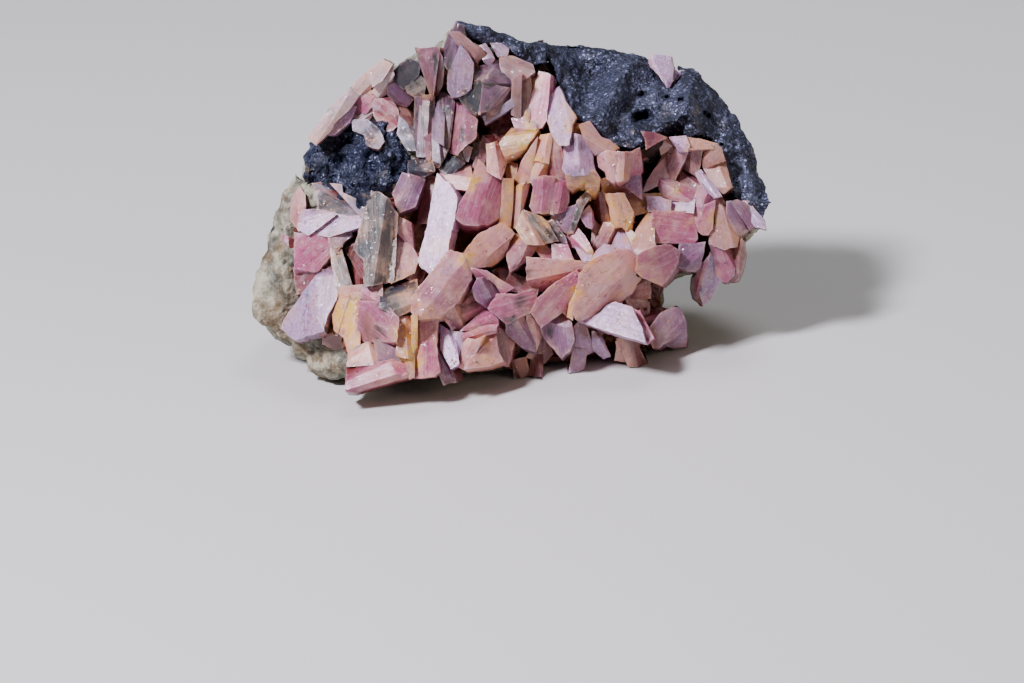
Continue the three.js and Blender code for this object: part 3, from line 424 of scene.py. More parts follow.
p .1 .4 -.2 3 -20.2 30.4 -18.6 30.6 -17.6 31.8 -17 33.2 -18.2 33.4 -19.8 32
b .2 .2 -.2 3 -17.4 33.2 -16.2 35.4 -15.3 36.6 -15 35.4 -15.6 33.4 -16.6 32.6
b -.2 .2 -.2 3 -19.8 30.2 -18.2 29.8 -17.5 31 -18.4 31.6
o .45 0 0 2 8.45 10.2 8.8 10.1 8.5 8.4 7.7 6.4 7.4 4.9 7.1 5.1 7.3 6.6 8.1 8.6
o .3 0 0 2 -12.3 5 -11.9 5 -11.95 -2.4 -12.25 -2.4
"""


def twice_area(outline):
    """Twice the area of an outline, above zero when it runs counter-clockwise."""
    turned = np.roll(outline, -1, axis=0)
    return float((outline[:, 0] * turned[:, 1] - turned[:, 0] * outline[:, 1]).sum())


def clipped(outline, point, normal):
    """The part of an outline on one side of a line."""
    kept = []
    for here, there in zip(outline, np.roll(outline, -1, axis=0)):
        near, far = (here - point) @ normal, (there - point) @ normal
        if near >= 0:
            kept.append(here)
        if near * far < 0:
            kept.append(here + (there - here) * near / (near - far))
    return np.array(kept)


def inside(outline, spots):
    """Which of the spots an outline holds."""
    held = np.zeros(len(spots), dtype=bool)
    for (u1, w1), (u2, w2) in zip(outline, np.roll(outline, -1, axis=0)):
        if w1 == w2:
            continue
        crosses = (w1 > spots[:, 1]) != (w2 > spots[:, 1])
        held ^= crosses & (spots[:, 0] < (u2 - u1) * (spots[:, 1] - w1) / (w2 - w1) + u1)
    return held


EDGE_STEP = 0.35  # mm between the points along an outline
CLOSER = 0.24  # mm that each outline grows, so that neighbours touch
SHORTEST = 0.05  # mm, below which a side of it is left out
SHARPEST = 0.5  # how far a sharp corner may be drawn out


def fine_outline(outline):
    """An outline grown by CLOSER, with points every EDGE_STEP, counter-clockwise."""
    if twice_area(outline) < 0:
        outline = outline[::-1]
    run = np.roll(outline, -1, axis=0) - outline
    outline = outline[np.linalg.norm(run, axis=1) > SHORTEST]
    run = np.roll(outline, -1, axis=0) - outline
    lengths = np.linalg.norm(run, axis=1)
    outward = np.column_stack([run[:, 1], -run[:, 0]]) / lengths[:, None]
    before = np.roll(outward, 1, axis=0)
    mitre = np.maximum(1 + (outward * before).sum(axis=1), SHARPEST)
    corners = outline + CLOSER * (outward + before) / mitre[:, None]
    points = []
    for here, there in zip(corners, np.roll(corners, -1, axis=0)):
        steps = max(1, round(math.dist(here, there) / EDGE_STEP))
        points += [here + (there - here) * step / steps for step in range(steps)]
    return np.array(points)


FACE_STEP = 0.4  # mm between the points inside an outline
STRAY = 0.15  # mm that each of them may stray
RIM_GAP = 0.24  # mm that they stay away from the rim


def face_points(rim, rng):
    """Points spread over the inside of an outline."""
    low, high = rim.min(axis=0), rim.max(axis=0)
    grid = np.array([[u + rng.uniform(-STRAY, STRAY), w + rng.uniform(-STRAY, STRAY)]
                     for u in np.arange(low[0], high[0], FACE_STEP)
                     for w in np.arange(low[1], high[1], FACE_STEP)])
    return [point for point in grid[inside(rim, grid)]
            if np.linalg.norm(rim - point, axis=1).min() > RIM_GAP]


def creases(rim, middle, axes, rng):
    """Lines where a crystal's face bends down: a point, the way down, and how steep it is. One or
    two run along the crystal, and often one across it."""
    spread = np.abs((rim - middle) @ axes.T).max(axis=0)
    made = []
    for side in rng.sample((-1, 1), 2)[: rng.choice((1, 1, 2))]:
        way = axes[1] * side + axes[0] * rng.uniform(-0.22, 0.22)
        made.append((middle + axes[1] * side * spread[1] * rng.uniform(0.05, 0.5), way,
                     rng.uniform(0.45, 1.5)))
    if rng.random() < 0.6:
        side = rng.choice((-1, 1))
        way = axes[0] * side + axes[1] * rng.uniform(-0.6, 0.6)
        made.append((middle + axes[0] * side * spread[0] * rng.uniform(0.35, 0.75), way,
                     rng.uniform(0.35, 1.2)))
    return [(point, way / np.linalg.norm(way), steep) for point, way, steep in made]


FROM_LIGHT = np.array([0.65, -0.76])  # the way, on the face, that points away from the light
OFF_MIDDLE = 0.12  # how far down that way a long crease lies, as a share of half the width
LONG_STEEP = 0.62  # mm that the face falls past it for each mm across


def long_crease(rim, middle, axes):
    """One crease along the whole crystal, falling away from the light."""
    width = float(np.abs((rim - middle) @ axes[1]).max())
    way = axes[1] * math.copysign(1.0, float(axes[1] @ FROM_LIGHT))
    return [(middle + way * OFF_MIDDLE * width, way, LONG_STEEP)]


CREASE_STEP = 0.3  # mm between the points along a crease
CREASE_GAP = 0.16  # mm that other points stay away from it, and its ends from the rim


def crease_points(rim, point, way):
    """Points along a crease, inside the outline."""
    along = np.array([-way[1], way[0]])
    line = np.array([point + along * s for s in np.arange(-9, 9, CREASE_STEP)])
    return [spot for spot, keep in zip(line, inside(rim, line))
            if keep and np.linalg.norm(rim - spot, axis=1).min() > CREASE_GAP]


def face_mesh(rim, held, bends):
    """Points and triangles over a face, with an edge along each crease, and its rim's numbers."""
    points, ties = list(rim), []
    for point, way, _ in bends:
        line = crease_points(rim, point, way)
        held = [spot for spot in held if abs((spot - point) @ way) > CREASE_GAP]
        ties += [(len(points) + i, len(points) + i + 1) for i in range(len(line) - 1)]
        points += line
    spots, _, triangles, sources, _, _ = delaunay_2d_cdt(
        [Vector(point) for point in [*points, *held]], ties, [list(range(len(rim)))], 1, 1e-4)
    spots = np.array([tuple(spot) for spot in spots])
    on_rim = [-1] * len(rim)
    for made, olds in enumerate(sources):
        for old in olds:
            if old < len(rim):
                on_rim[old] = made
    loops = []
    for triangle in triangles:
        a, b, c = [spots[i] for i in triangle]
        turned = (b[0] - a[0]) * (c[1] - a[1]) - (b[1] - a[1]) * (c[0] - a[0])
        loops.append(list(triangle) if turned > 0 else list(triangle)[::-1])
    return spots, loops, on_rim


STEEPEST = 0.7  # the most that a face may lean by its marks
OWN_LEAN = 0.19  # the usual lean that it has of its own


def face_plane(outline, middle, lift, tilt, rng):
    """The flat that a face lies in: how it leans across and up, and how far out its middle is."""
    fit = np.column_stack([outline - middle, np.ones(len(outline))])
    outs = np.array([face_out(u, w) for u, w in outline])
    steady = np.diag([2.0, 2.0, 0.0])
    plane = np.linalg.solve(fit.T @ fit + steady, fit.T @ (outs + lift))
    own = [rng.gauss(0, OWN_LEAN), rng.gauss(0, OWN_LEAN)]
    plane[:2] = np.clip(plane[:2], -STEEPEST, STEEPEST) + own
    plane[:2] += tilt
    plane[2] += rng.gauss(0.15, 0.2)
    return plane


# What a crystal's mesh carries for its material, beside its growth and tint: how deep a place
# lies, which sets its painted shade, how rusty and sooty it is, and whether it is on the rim,
# which is worn and also takes a painted edge highlight.
SHADES = ("recess", "rust", "soot", "worn")
LOWEST = 0.15  # mm that every crystal stays above the table


def empty_lists():
    """The lists that crystals are added to before they become one mesh."""
    return {key: [] for key in ("places", "faces", "growth", "tint", *SHADES)}


def add_point(into, place, growth, tint, **shades):
    """One point of a crystal, by its place on the face."""
    spot = on_face(*place)
    into["places"].append([spot[0] * MM, spot[1] * MM, max(spot[2], LOWEST) * MM])
    into["growth"].append(growth)
    into["tint"].append(tint)
    for key in SHADES:
        into[key].append(shades[key])


RIM_LOSS = 0.06  # the share of the way to the middle that a rim is broken in, at most
DEEPEST_BEND = 0.6  # the share of a crystal's depth that its face may bend down
UNEVEN = 0.05  # mm that a face is uneven
CHIPPED = 0.15  # mm that chips take off its rim
LAYER = 0.7  # mm between the rings of points down its sides
SHADE_FROM, SHADE_OVER = 0.3, 2.0  # mm below the face where the painted shade starts, and over how many it deepens


def slab(outline, lift, tilt, lean, depth, bend, colour, tone_and_shade, rng, into):
    """A crystal by the outline of its face, with straight sides down to its buried back. Its
    face stands a lift out from the marks, and leans by a tilt; its back is shifted by a lean."""
    rim = fine_outline(outline)
    jag = np.array([patterns.noise(Vector((*spot, 0.0)) * 1.7) for spot in rim])
    rim += (rim.mean(axis=0) - rim) * (RIM_LOSS * np.clip(jag, -0.3, 1))[:, None]
    held = face_points(rim, rng)
    middle = outline.mean(axis=0)
    _, _, axes = np.linalg.svd(rim - rim.mean(axis=0))
    bends = []
    if bend == "broken":
        bends = creases(rim, middle, axes, rng)
    elif bend == "long":
        bends = long_crease(rim, middle, axes)
    spots, triangles, on_rim = face_mesh(rim, held, bends)
    plane = face_plane(outline, middle, lift, tilt, rng)
    shift = np.array([rng.uniform(0, 90) for _ in range(3)])
    lighter, rustier = rng.uniform(-0.22, 0.22), rng.uniform(-0.5, 0.5)  # towards one end
    half = max(float(np.abs((rim - middle) @ axes[0]).max()), 0.5)

    def level(spot):
        """How far out the face is at a place, with its bends."""
        flat = plane[0] * (spot[0] - middle[0]) + plane[1] * (spot[1] - middle[1]) + plane[2]
        falls = [max(0.0, float((spot - point) @ way)) * steep for point, way, steep in bends]
        return flat - min(max(falls, default=0.0), depth * DEEPEST_BEND)

    def grown_at(spot, down):
        """A place in the crystal's own measure, in which its silky lines run."""
        own = axes @ (spot - middle)
        return shift + [own[1], down, own[0] * 0.6]

    def add(spot, place, growth, worn):
        reach = float((spot - middle) @ axes[0]) / half  # along the crystal, from -1 to 1
        add_point(
            into, place, growth,
            tint=[*np.clip(colour[:3] * (1 + lighter * reach), 0, 1), tone_and_shade],
            # the deeper a place lies below the face, the more painted shade it gets
            recess=min(1.0, max(0.0, (face_out(*place[:2]) - place[2] - SHADE_FROM) / SHADE_OVER)),
            rust=colour[3] + rustier * reach + 0.4 * worn + stain_at(RUSTED, *place[:2]),
            soot=colour[4] + stain_at(SMOKED, *place[:2]),
            worn=worn)

    base, edge = len(into["places"]), set(on_rim)
    for number, spot in enumerate(spots):
        growth = grown_at(spot, 0.0)
        chip = patterns.noise(Vector(growth * 1.3)) + 0.6 * patterns.noise(Vector(growth * 3.1))
        sag = UNEVEN * chip
        if number in edge:
            sag -= CHIPPED * max(0.0, chip) + 0.02
        add(spot, [*spot, level(spot) + sag], growth, 1.0 if number in edge else 0.0)
    layers = max(3, round(depth / LAYER))
    for layer in range(1, layers + 1):
        down = layer / layers
        for spot in spots[on_rim]:
            growth = grown_at(spot, down * depth)
            swell = (spot - middle) * (0.03 * patterns.noise(Vector(growth * 1.1)) - 0.02 * down)
            side = spot + swell + np.array(lean) * down
            add(spot, [*side, level(spot) - depth * down], growth, 0.35 * (layer == 1))
    into["faces"] += [tuple(base + number for number in loop) for loop in triangles]
    rings = [[base + number for number in on_rim]]
    for layer in range(layers):
        first = base + len(spots) + layer * len(on_rim)
        rings.append(list(range(first, first + len(on_rim))))
    for upper, lower in zip(rings, rings[1:]):
        for i, j in zip(range(len(upper)), [*range(1, len(upper)), 0]):
            into["faces"].append((upper[i], lower[i], lower[j], upper[j]))
    into["faces"].append(tuple(reversed(rings[-1])))


BIG_FACE = 7.0  # mm2, above which a face may be broken across in two
SMALLEST = 0.4  # mm2, below which a part of it is left out
CRACKED, CREASED = 0.4, 0.8  # how many of the big ones are cracked across, and of all creased
RISE = 1.4  # how much further apart in height the crystals stand than the list says
TO_LIGHT = np.array([0.15, -0.17])  # a lean of a face that takes it halfway to a full glint
FACING = {"l": 1.2, "r": -0.6, "v": -0.3}


def slabs_of(text, rng, into):
    """All crystals of the list; a big one may be cracked, with one part a little lower. Gives
    back the centre, direction and tone of each."""
    made = []
    for entry in re.split(r"\n(?=[A-Za-z])", text.strip()):
        letter, *numbers = entry.split()
        rise, lean_u, lean_w, depth, *places = [float(number) for number in numbers]
        outline = np.array(places).reshape(-1, 2)
        centre = outline.mean(axis=0)
        parts = [(outline, 0.0)]
        big = abs(twice_area(outline)) / 2 > BIG_FACE
        if big and letter.islower() and rng.random() < CRACKED:
            angle = rng.uniform(0, math.pi)
            point = centre + [rng.uniform(-0.8, 0.8), rng.uniform(-0.8, 0.8)]
            normal = np.array([math.cos(angle), math.sin(angle)])
            parts = [(clipped(outline, point, normal), 0.0),
                     (clipped(outline, point, -normal), rng.uniform(0.12, 0.4))]
        colour = tone_of(letter, rng)
        left = lightness(*centre)
        # its own lightness at random, times what its darker tone and painted shade leave of it
        tone_and_shade = rng.uniform(0.76, 1.0) * left
        colour[4] += 0.3 * (left < 0.7)  # the darkest ones are smoky too
        tilt = TO_LIGHT * FACING.get(letter.lower(), 0.0)
        for part, drop in parts:
            if len(part) < 3 or abs(twice_area(part)) / 2 <= SMALLEST:
                continue
            bend = "long" if letter in "CTP" else "none"
            if letter.islower() and rng.random() < CREASED:
                bend = "broken"
            slab(part, rise * RISE - drop, tilt, (lean_u, lean_w), depth, bend, colour, tone_and_shade,
                 rng, into)
        _, _, axes = np.linalg.svd(outline - centre)
        made.append((centre, math.atan2(axes[0][1], axes[0][0]), letter))
    return made


def add_attribute(mesh, name, values, kind="FLOAT", part="value"):
    """A value at each point of a mesh, for its material."""
    made = mesh.attributes.new(name, kind, "POINT")
    made.data.foreach_set(part, np.array(values, dtype=np.float32).ravel())


def made_mesh(name, lists):
    """One piece from its lists, smooth over the chips and sharp at the edges."""
    mesh = bpy.data.meshes.new(name)
    mesh.from_pydata([tuple(place) for place in lists["places"]], [], lists["faces"])
    add_attribute(mesh, "growth", lists["growth"], "FLOAT_VECTOR", "vector")
    add_attribute(mesh, "tint", lists["tint"], "FLOAT_COLOR", "color")
    for key in SHADES:
        add_attribute(mesh, key, lists[key])
    mesh.update()
    mesh.shade_smooth()
    mesh.set_sharp_from_angle(angle=0.42)
    piece = bpy.data.objects.new(name, mesh)
    bpy.context.collection.objects.link(piece)
    return piece


dice = random.Random(7)
blade_lists = empty_lists()
blades = slabs_of(SLABS, dice, blade_lists)
crystals = made_mesh("inesite_blades", blade_lists)

# Broken bits fill the gaps left between the blades, wherever no crust hides them. A few deep
# gaps stay open: across, up, radius.
HOLLOWS = table("""
-11.3 17.5 1.4  -11.6 20 1  -5.6 15 1.6  -4.5 6.2 1.1  -7 5.4 1.1  -1.6 28.9 1.6  -2.6 28 1
17.2 24.2 1.7  17 23 1.2  18.2 26 .8  8.2 20.3 1.2  9.8 19.6 .8  24.2 13 .9  12.2 1.8 1.3
4.8 -.2 .8  .8 12.9 .9  16 5 .9  21 8 2.3  -18.4 14.4 1.2  14 18 1  -3.6 36.8 .6
""")


def in_hollow(across, up):
    """Whether a place is in a gap that stays open."""
    return bool((gaps_to(HOLLOWS, across, up) < HOLLOWS[:, 2]).any())


def surface_tree(name):
    """The surface of a piece or node, for finding where it lies."""
    mesh = bpy.data.objects[name].data
    return BVHTree.FromPolygons([v.co for v in mesh.vertices], [p.vertices for p in mesh.polygons])


WELL_OUT = 60  # mm out from the face, where nothing of the specimen is


def first_hit(tree, across, up):
    """How far out a solid first lies, looking square at the face, or None."""
    start = Vector(on_face(across, up, WELL_OUT) * MM)
    hit = tree.ray_cast(start, Vector(-OUT))[3]
    return None if hit is None else WELL_OUT - hit / MM


bed_tree = surface_tree("inesite_crystals")
blade_tree = surface_tree("inesite_blades")
crust_trees = [surface_tree(node) for node in ("crust_roof", "crust_peak", "dark_knot")]


def by_crust(across, up, reach=1.4):
    """Whether crust hides a place or lies close beside it."""
    ways = ((0, 0), (reach, 0), (-reach, 0), (0, reach), (0, -reach))
    return any(first_hit(tree, across + du, up + dw) is not None
               for tree in crust_trees for du, dw in ways)


def shard(across, up, spin, rng):
    """The outline of a broken bit: a strip with slanted ends, turned by a spin."""
    length, width = rng.uniform(2.4, 4.6), rng.uniform(1.3, 2.6)
    corners = [(x * length / 2 + rng.uniform(-0.5, 0.5), y * width / 2 * rng.uniform(0.6, 1))
               for x, y in ((-1, -1), (1, -1), (1, 1), (-1, 1))]
    turned = np.array([[math.cos(spin), math.sin(spin)], [-math.sin(spin), math.cos(spin)]])
    return np.array(corners) @ turned + [across, up]


BIT_SPACING = 1.6  # mm
BIT_STRAY = 0.7  # mm that each may lie out of line
BIT_CORNER = (-34, -6)  # across and up, the first place that is tried
BIT_COLUMNS, BIT_ROWS = 44, 34
BIT_SUNK = (0.8, 2.3)  # mm that they lie below the face, from the least to the most
BIT_COVER = 0.6  # mm that a bit has to stand out from what is already there
bit_lists = empty_lists()
for column, row in np.ndindex(BIT_COLUMNS, BIT_ROWS):
    across = BIT_CORNER[0] + column * BIT_SPACING + dice.uniform(-BIT_STRAY, BIT_STRAY)
    up = BIT_CORNER[1] + row * BIT_SPACING + dice.uniform(-BIT_STRAY, BIT_STRAY)
    bed = first_hit(bed_tree, across, up)
    if bed is None or in_hollow(across, up):
        continue
    blade = first_hit(blade_tree, across, up)
    top = face_out(across, up) - dice.uniform(*BIT_SUNK)
    highest = bed if blade is None else max(bed, blade)
    if highest > top - BIT_COVER or by_crust(across, up):
        continue
    _, direction, letter = min(blades, key=lambda made: math.dist(made[0], (across, up)))
    outline = shard(across, up, direction + dice.gauss(0, 0.45), dice)
    tone = tone_of(letter if dice.random() < 0.6 else dice.choice("prvr"), dice)
    tilt = np.array([dice.gauss(0, 0.22), dice.gauss(0, 0.22)])
    lean = (dice.gauss(0, 0.4), dice.gauss(0, 0.4))
    depth = min(5.0, max(1.6, top - bed + 0.4))
    # Bits are darker than the blades, partly at random and partly as painted shade, as they lie
    # deeper.
    tone_and_shade = dice.uniform(0.66, 0.92) * lightness(across, up)
    slab(outline, top - face_out(across, up), tilt, lean, depth, "broken", tone, tone_and_shade, dice,
         bit_lists)

# Crumbs of stained crystal lie in the joints, thickest in a few places: across, up, spread.
CRUMBLED = table("""
-15 4.5 2.4  -12.4 2 2  -8 6 2  -6 -1 2  -11 -2 2  -27.6 12 1.6  -27.8 16 1.4  -24 2.6 2
-20.5 6 1.6  -27 8 1.6  -3 3 2  1.5 14 2  -.5 26.5 1.6  4.4 16.6 1.6  8.3 10 1.4  7.4 28.4 1.4
12.5 22.6 1.6  10 21 1.4  13.6 17.6 1.4  20.5 20.8 1.2  17 18.6 1.4  -21.5 13 1.2
-17.5 27.5 1.6  -10.4 24 1.6  -6 30 1.6
""")
CRUMBS = 18  # around each place
CRUMB_DEEPEST = 2.2  # mm below the face
BOX_LOOPS = ((0, 2, 3, 1), (4, 5, 7, 6), (0, 1, 5, 4), (2, 6, 7, 3), (0, 4, 6, 2), (1, 3, 7, 5))


def crumb(place, size, colour, rng, into):
    """A tiny broken grain: a box with each corner moved."""
    base = len(into["places"])
    for x, y, z in ((x, y, z) for z in (-1, 1) for y in (-1, 1) for x in (-1, 1)):
        corner = place + np.array([x, y, z]) * size * [rng.uniform(0.2, 0.7) for _ in "xyz"]
        add_point(into, corner, corner, [*colour[:3], 1.0], recess=0, rust=colour[3],
                  soot=colour[4], worn=0)
    into["faces"] += [tuple(base + corner for corner in loop) for loop in BOX_LOOPS]


for across, up, spread in CRUMBLED:
    for _ in range(CRUMBS):
        u, w = dice.gauss(across, spread * 0.6), dice.gauss(up, spread * 0.6)
        out = first_hit(blade_tree, u, w)
        if out is None or out < face_out(u, w) - CRUMB_DEEPEST:
            continue
        size = 0.1 + 0.24 * dice.random() ** 2.5  # mostly small, a few up to 0.34 mm
        tone = tone_of(dice.choice("yyccoyeyp"), dice)
        crumb(np.array([u, w, out]), size, tone, dice, bit_lists)
bits = made_mesh("inesite_bits", bit_lists)


def painted(material, colour, layers):
    """A colour with others laid over it. Each layer is a colour, then the patterns that make up
    its share, stretched between two levels where they are 0 and 1, or what it says after them."""
    for over, *parts in layers:
        share = None
        for value, low, high, *ends in parts:
            least, most = ends or (0.0, 1.0)
            part = add_node(material, "ShaderNodeMapRange", {
                "Value": value, "From Min": low, "From Max": high, "To Min": least,
                "To Max": most}).outputs["Result"]
            share = part if share is None else add_node(
                material, "ShaderNodeMath", {0: share, 1: part}, operation="MULTIPLY").outputs[0]
        over = linear(over) if isinstance(over, str) else over
        colour = add_node(material, "ShaderNodeMix", {
            0: share, 6: colour, 7: over}, data_type="RGBA").outputs[2]
    return colour


def silky_inesite(material):
    """Translucent pink, with fine lines along each crystal, pale partly as painted sheen, cloudy
    white patches, painted glints on the lilac ones, pale rims partly a painted edge highlight,
    rust and soot where water got between the blades, and painted shade deep down the sides."""
    carried = {key: add_node(material, "ShaderNodeAttribute", attribute_name=key).outputs
               for key in ("growth", "tint", *SHADES)}
    growth, tint = carried["growth"]["Vector"], carried["tint"]["Color"]
    deep_shade, rusty, sooty, worn = [carried[key]["Fac"] for key in SHADES]
    spot = add_node(material, "ShaderNodeTexCoord").outputs["Object"]
    # Cloudy patterns: the size of the patches in mm, detail, roughness.
    clouds, rust, grain, mottle, soot, silky, painted_sparkle, chips = [
        add_node(material, "ShaderNodeTexNoise", {
            "Vector": spot, "Scale": 1 / (size * MM), "Detail": detail,
            "Roughness": rough}).outputs["Fac"]
        for size, detail, rough in (
            (2.4, 5.0, 0.65), (5, 5.0, 0.65), (0.9, 4.0, 0.7), (0.66, 4.0, 0.75),
            (3.8, 5.0, 0.7), (6.6, 2.0, 0.6), (0.38, 2.0, 0.8), (1.4, 5.0, 0.7))]
    # Lines drawn out along each crystal: how many to a mm across and along it, detail, roughness.
    silk_sheen, broad, streak, split = [
        add_node(material, "ShaderNodeTexNoise", {
            "Vector": add_node(material, "ShaderNodeMapping", {
                "Vector": growth, "Scale": (across, across, along)}).outputs["Vector"],
            "Scale": 1.0, "Detail": detail, "Roughness": rough}).outputs["Fac"]
        for across, along, detail, rough in (
            (6.0, 0.3, 3.0, 0.6), (1.9, 0.2, 5.0, 0.7), (1.3, 0.3, 5.0, 0.7),
            (0.9, 0.55, 2.0, 0.5))]
    cracks = add_node(material, "ShaderNodeMath", {
        0: split, 1: 0.5, 2: 0.006}, operation="COMPARE").outputs[0]
    blueness = add_node(material, "ShaderNodeSeparateColor", {"Color": tint}).outputs["Blue"]
    lilac = (blueness, 0.42, 0.55)
    cells = add_node(material, "ShaderNodeTexVoronoi", {
        "Vector": spot, "Scale": 1 / (0.44 * MM)}).outputs
    pick = add_node(material, "ShaderNodeSeparateColor", {"Color": cells["Color"]}).outputs
    crumbs = (cells["Distance"], 0.34, 0.22)
    rim_wear_and_highlight = (worn, 0.4, 1.0)
    colour = painted(material, tint, (
        # Cloudy, paler and deeper patches.
        ("#D9BDD8", (clouds, 0.52, 0.68, 0, 0.5)),
        ("#A23C66", (clouds, 0.48, 0.3, 0, 0.55)),
        # Silky lines, the pale ones partly the fibres' own colour and partly painted sheen.
        ("#F6E4EA", (silk_sheen, 0.5, 0.7, 0, 0.25)),
        ("#F1DBE0", (broad, 0.52, 0.7, 0, 0.36), (silky, 0.42, 0.6)),
        ("#933A5C", (broad, 0.47, 0.32, 0, 0.2)),
        # Fine mottling, and in the lilac ones painted glints and dim specks.
        ("#EBCFDD", (mottle, 0.52, 0.7, 0, 0.25)),
        ("#A03F66", (mottle, 0.48, 0.34, 0, 0.28)),
        ("#FBF4FF", lilac, (painted_sparkle, 0.5, 0.64, 0, 0.45)),
        ("#9C7CC0", lilac, (painted_sparkle, 0.46, 0.34, 0, 0.25)),
        (tint, (sooty, 0.3, 0.9, 0, 0.7)),
        # Peach, orange and yellow rust.
        ("#EFB294", (rust, 0.4, 0.56), (clouds, 0.38, 0.56), (rusty, 0, 1, 0.2, 1)),
        ("#D98E30", (grain, 0.5, 0.6), (rust, 0.5, 0.58), (rusty, 0.2, 1, 0.05, 1)),
        ("#E8B63C", (rusty, 0.75, 1.2), (rust, 0.46, 0.58), (grain, 0.4, 0.55)),
        # Smoky streaks and black oxide.
        ("#34312B", (soot, 0.4, 0.54), (streak, 0.36, 0.54), (sooty, 0, 0.9, 0.05, 1)),
        ("#262A38", (sooty, 1.35, 1.9), (soot, 0.4, 0.52, 0.35, 0.95)),
        # Painted shade, deep red, down the sides and in the gaps, and fine dark cracks.
        ("#762619", (deep_shade, 0.1, 0.9, 0, 0.9)),
        ("#6E3038", (cracks, 0, 1, 0, 0.55)),
        # Yellow and black specks.
        ("#E0B668", crumbs, (pick["Red"], 0.82, 0.9), (rust, 0.46, 0.58)),
        ("#2A2420", crumbs, (pick["Green"], 0.985, 0.992)),
        # Pale rims, partly chipped and bleached and partly a painted edge highlight, and rusty
        # rims.
        ("#EBD2DE", rim_wear_and_highlight, (grain, 0.42, 0.6, 0, 0.5)),
        ("#CB7B35", rim_wear_and_highlight, (rust, 0.46, 0.56), (rusty, 0.6, 1.3, 0.15, 0.85)),
    ))
    # The tint's alpha darkens the whole colour, for the crystal's own tone and painted shade.
    tone_and_shade = add_node(material, "ShaderNodeCombineColor", {
        part: carried["tint"]["Alpha"] for part in ("Red", "Green", "Blue")}).outputs["Color"]
    colour = add_node(material, "ShaderNodeMix", {0: 1.0, 6: colour, 7: tone_and_shade},
                      data_type="RGBA", blend_type="MULTIPLY").outputs[2]
    ridged = add_node(material, "ShaderNodeBump", {
        "Height": broad, "Strength": 0.3, "Distance": 0.3 * MM}).outputs["Normal"]
    normal = add_node(material, "ShaderNodeBump", {
        "Height": chips, "Strength": 0.25, "Distance": 0.2 * MM,
        "Normal": ridged}).outputs["Normal"]
    # Tiny cleavage steps, each tilted its own way, make the polished skin glitter. The real
    # ones are finer than the 0.24 mm that shows.
    glitter = add_node(material, "ShaderNodeTexVoronoi", {
        "Vector": spot, "Scale": 1 / (0.24 * MM)}).outputs["Color"]
    for operation, links in (
        ("SUBTRACT", {1: (0.5, 0.5, 0.5)}), ("SCALE", {"Scale": 0.7}), ("ADD", {1: normal}),
        ("NORMALIZE", {}),
    ):
        glitter = add_node(material, "ShaderNodeVectorMath", {0: glitter, **links},
                           operation=operation).outputs["Vector"]
    rough = add_node(material, "ShaderNodeMapRange", {
        "Value": grain, "From Min": 0.3, "From Max": 0.7, "To Min": 0.36, "To Max": 0.52})
    return add_node(material, "ShaderNodeBsdfPrincipled", {
        "Base Color": colour, "Roughness": rough.outputs["Result"], "Normal": normal,
        "Subsurface Weight": 0.6, "Subsurface Radius": (1.0, 0.5, 0.45),
        "Subsurface Scale": 1.0 * MM, "IOR": 1.62, "Transmission Weight": 0.12,
        "Coat Weight": 0.4, "Coat Roughness": 0.1, "Coat Normal": glitter})


inesite = new_material("silky_inesite", silky_inesite)
for piece in (crystals, bits):
    piece.data.materials.append(inesite)
    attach(piece, "root")
    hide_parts("inesite_crystals", "roof_crystal")

# ---- Inesite behind the blades ---------------------------------------------------------------
# The same mineral, massive and broken, in the gaps between the blades. It is the solid behind
# them, drawn in a little and roughened, and painted dark red as shade where it lies deep.


def copy_of(node, name):
    """A copy of a node with its triangles joined up, left selected and active."""
    bpy.ops.object.select_all(action="DESELECT")
    piece = bpy.data.objects[node].copy()
    piece.data = piece.data.copy()
    piece.name = name
    piece.data.materials.clear()
    piece.hide_render = piece.hide_viewport = False
    bpy.context.collection.objects.link(piece)
    piece.hide_set(False)
    piece.select_set(True)
    bpy.context.view_layer.objects.active = piece
    bpy.ops.object.mode_set(mode="EDIT")
    bpy.ops.mesh.select_all(action="SELECT")
    bpy.ops.mesh.remove_doubles(threshold=1e-6)
    bpy.ops.object.mode_set(mode="OBJECT")
    return piece


def modify(piece, kind, **settings):
    """A modifier added and applied."""
    bpy.context.view_layer.objects.active = piece
    made = piece.modifiers.new(kind.lower(), kind)
    for key, value in settings.items():
        setattr(made, key, value)
    bpy.ops.object.modifier_apply(modifier=made.name)


def roughen(piece, kind, grain, height, **settings):
    """The surface moved in and out by a pattern of the given grain, both in mm."""
    pattern = bpy.data.textures.new(f"{piece.name}_{kind.lower()}_{grain}", kind)
    pattern.noise_scale = grain * MM
    for key, value in settings.items():
        setattr(pattern, key, value)
    modify(piece, "DISPLACE", texture=pattern, strength=height * MM, mid_level=0.5,
           texture_coords="LOCAL")


def keep_above(piece, level):
    """No part of a piece lower than a height in mm."""
    for vertex in piece.data.vertices:
        vertex.co.z = max(vertex.co.z, level * MM)


def face_place(vertex):
    """The place of a vertex on the face: across, up and out, in mm."""
    at = np.array(vertex.co) / MM - FACE_ORIGIN
    return at @ ACROSS, at @ UP, at @ OUT


def off_stretch(at, start, end):
    """Distance of a place on the face from a straight stretch."""
    start, run = np.array(start), np.array(end) - np.array(start)
    share = min(1.0, max(0.0, float((np.array(at) - start) @ run / (run @ run))))
    return float(np.linalg.norm(np.array(at) - start - share * run))


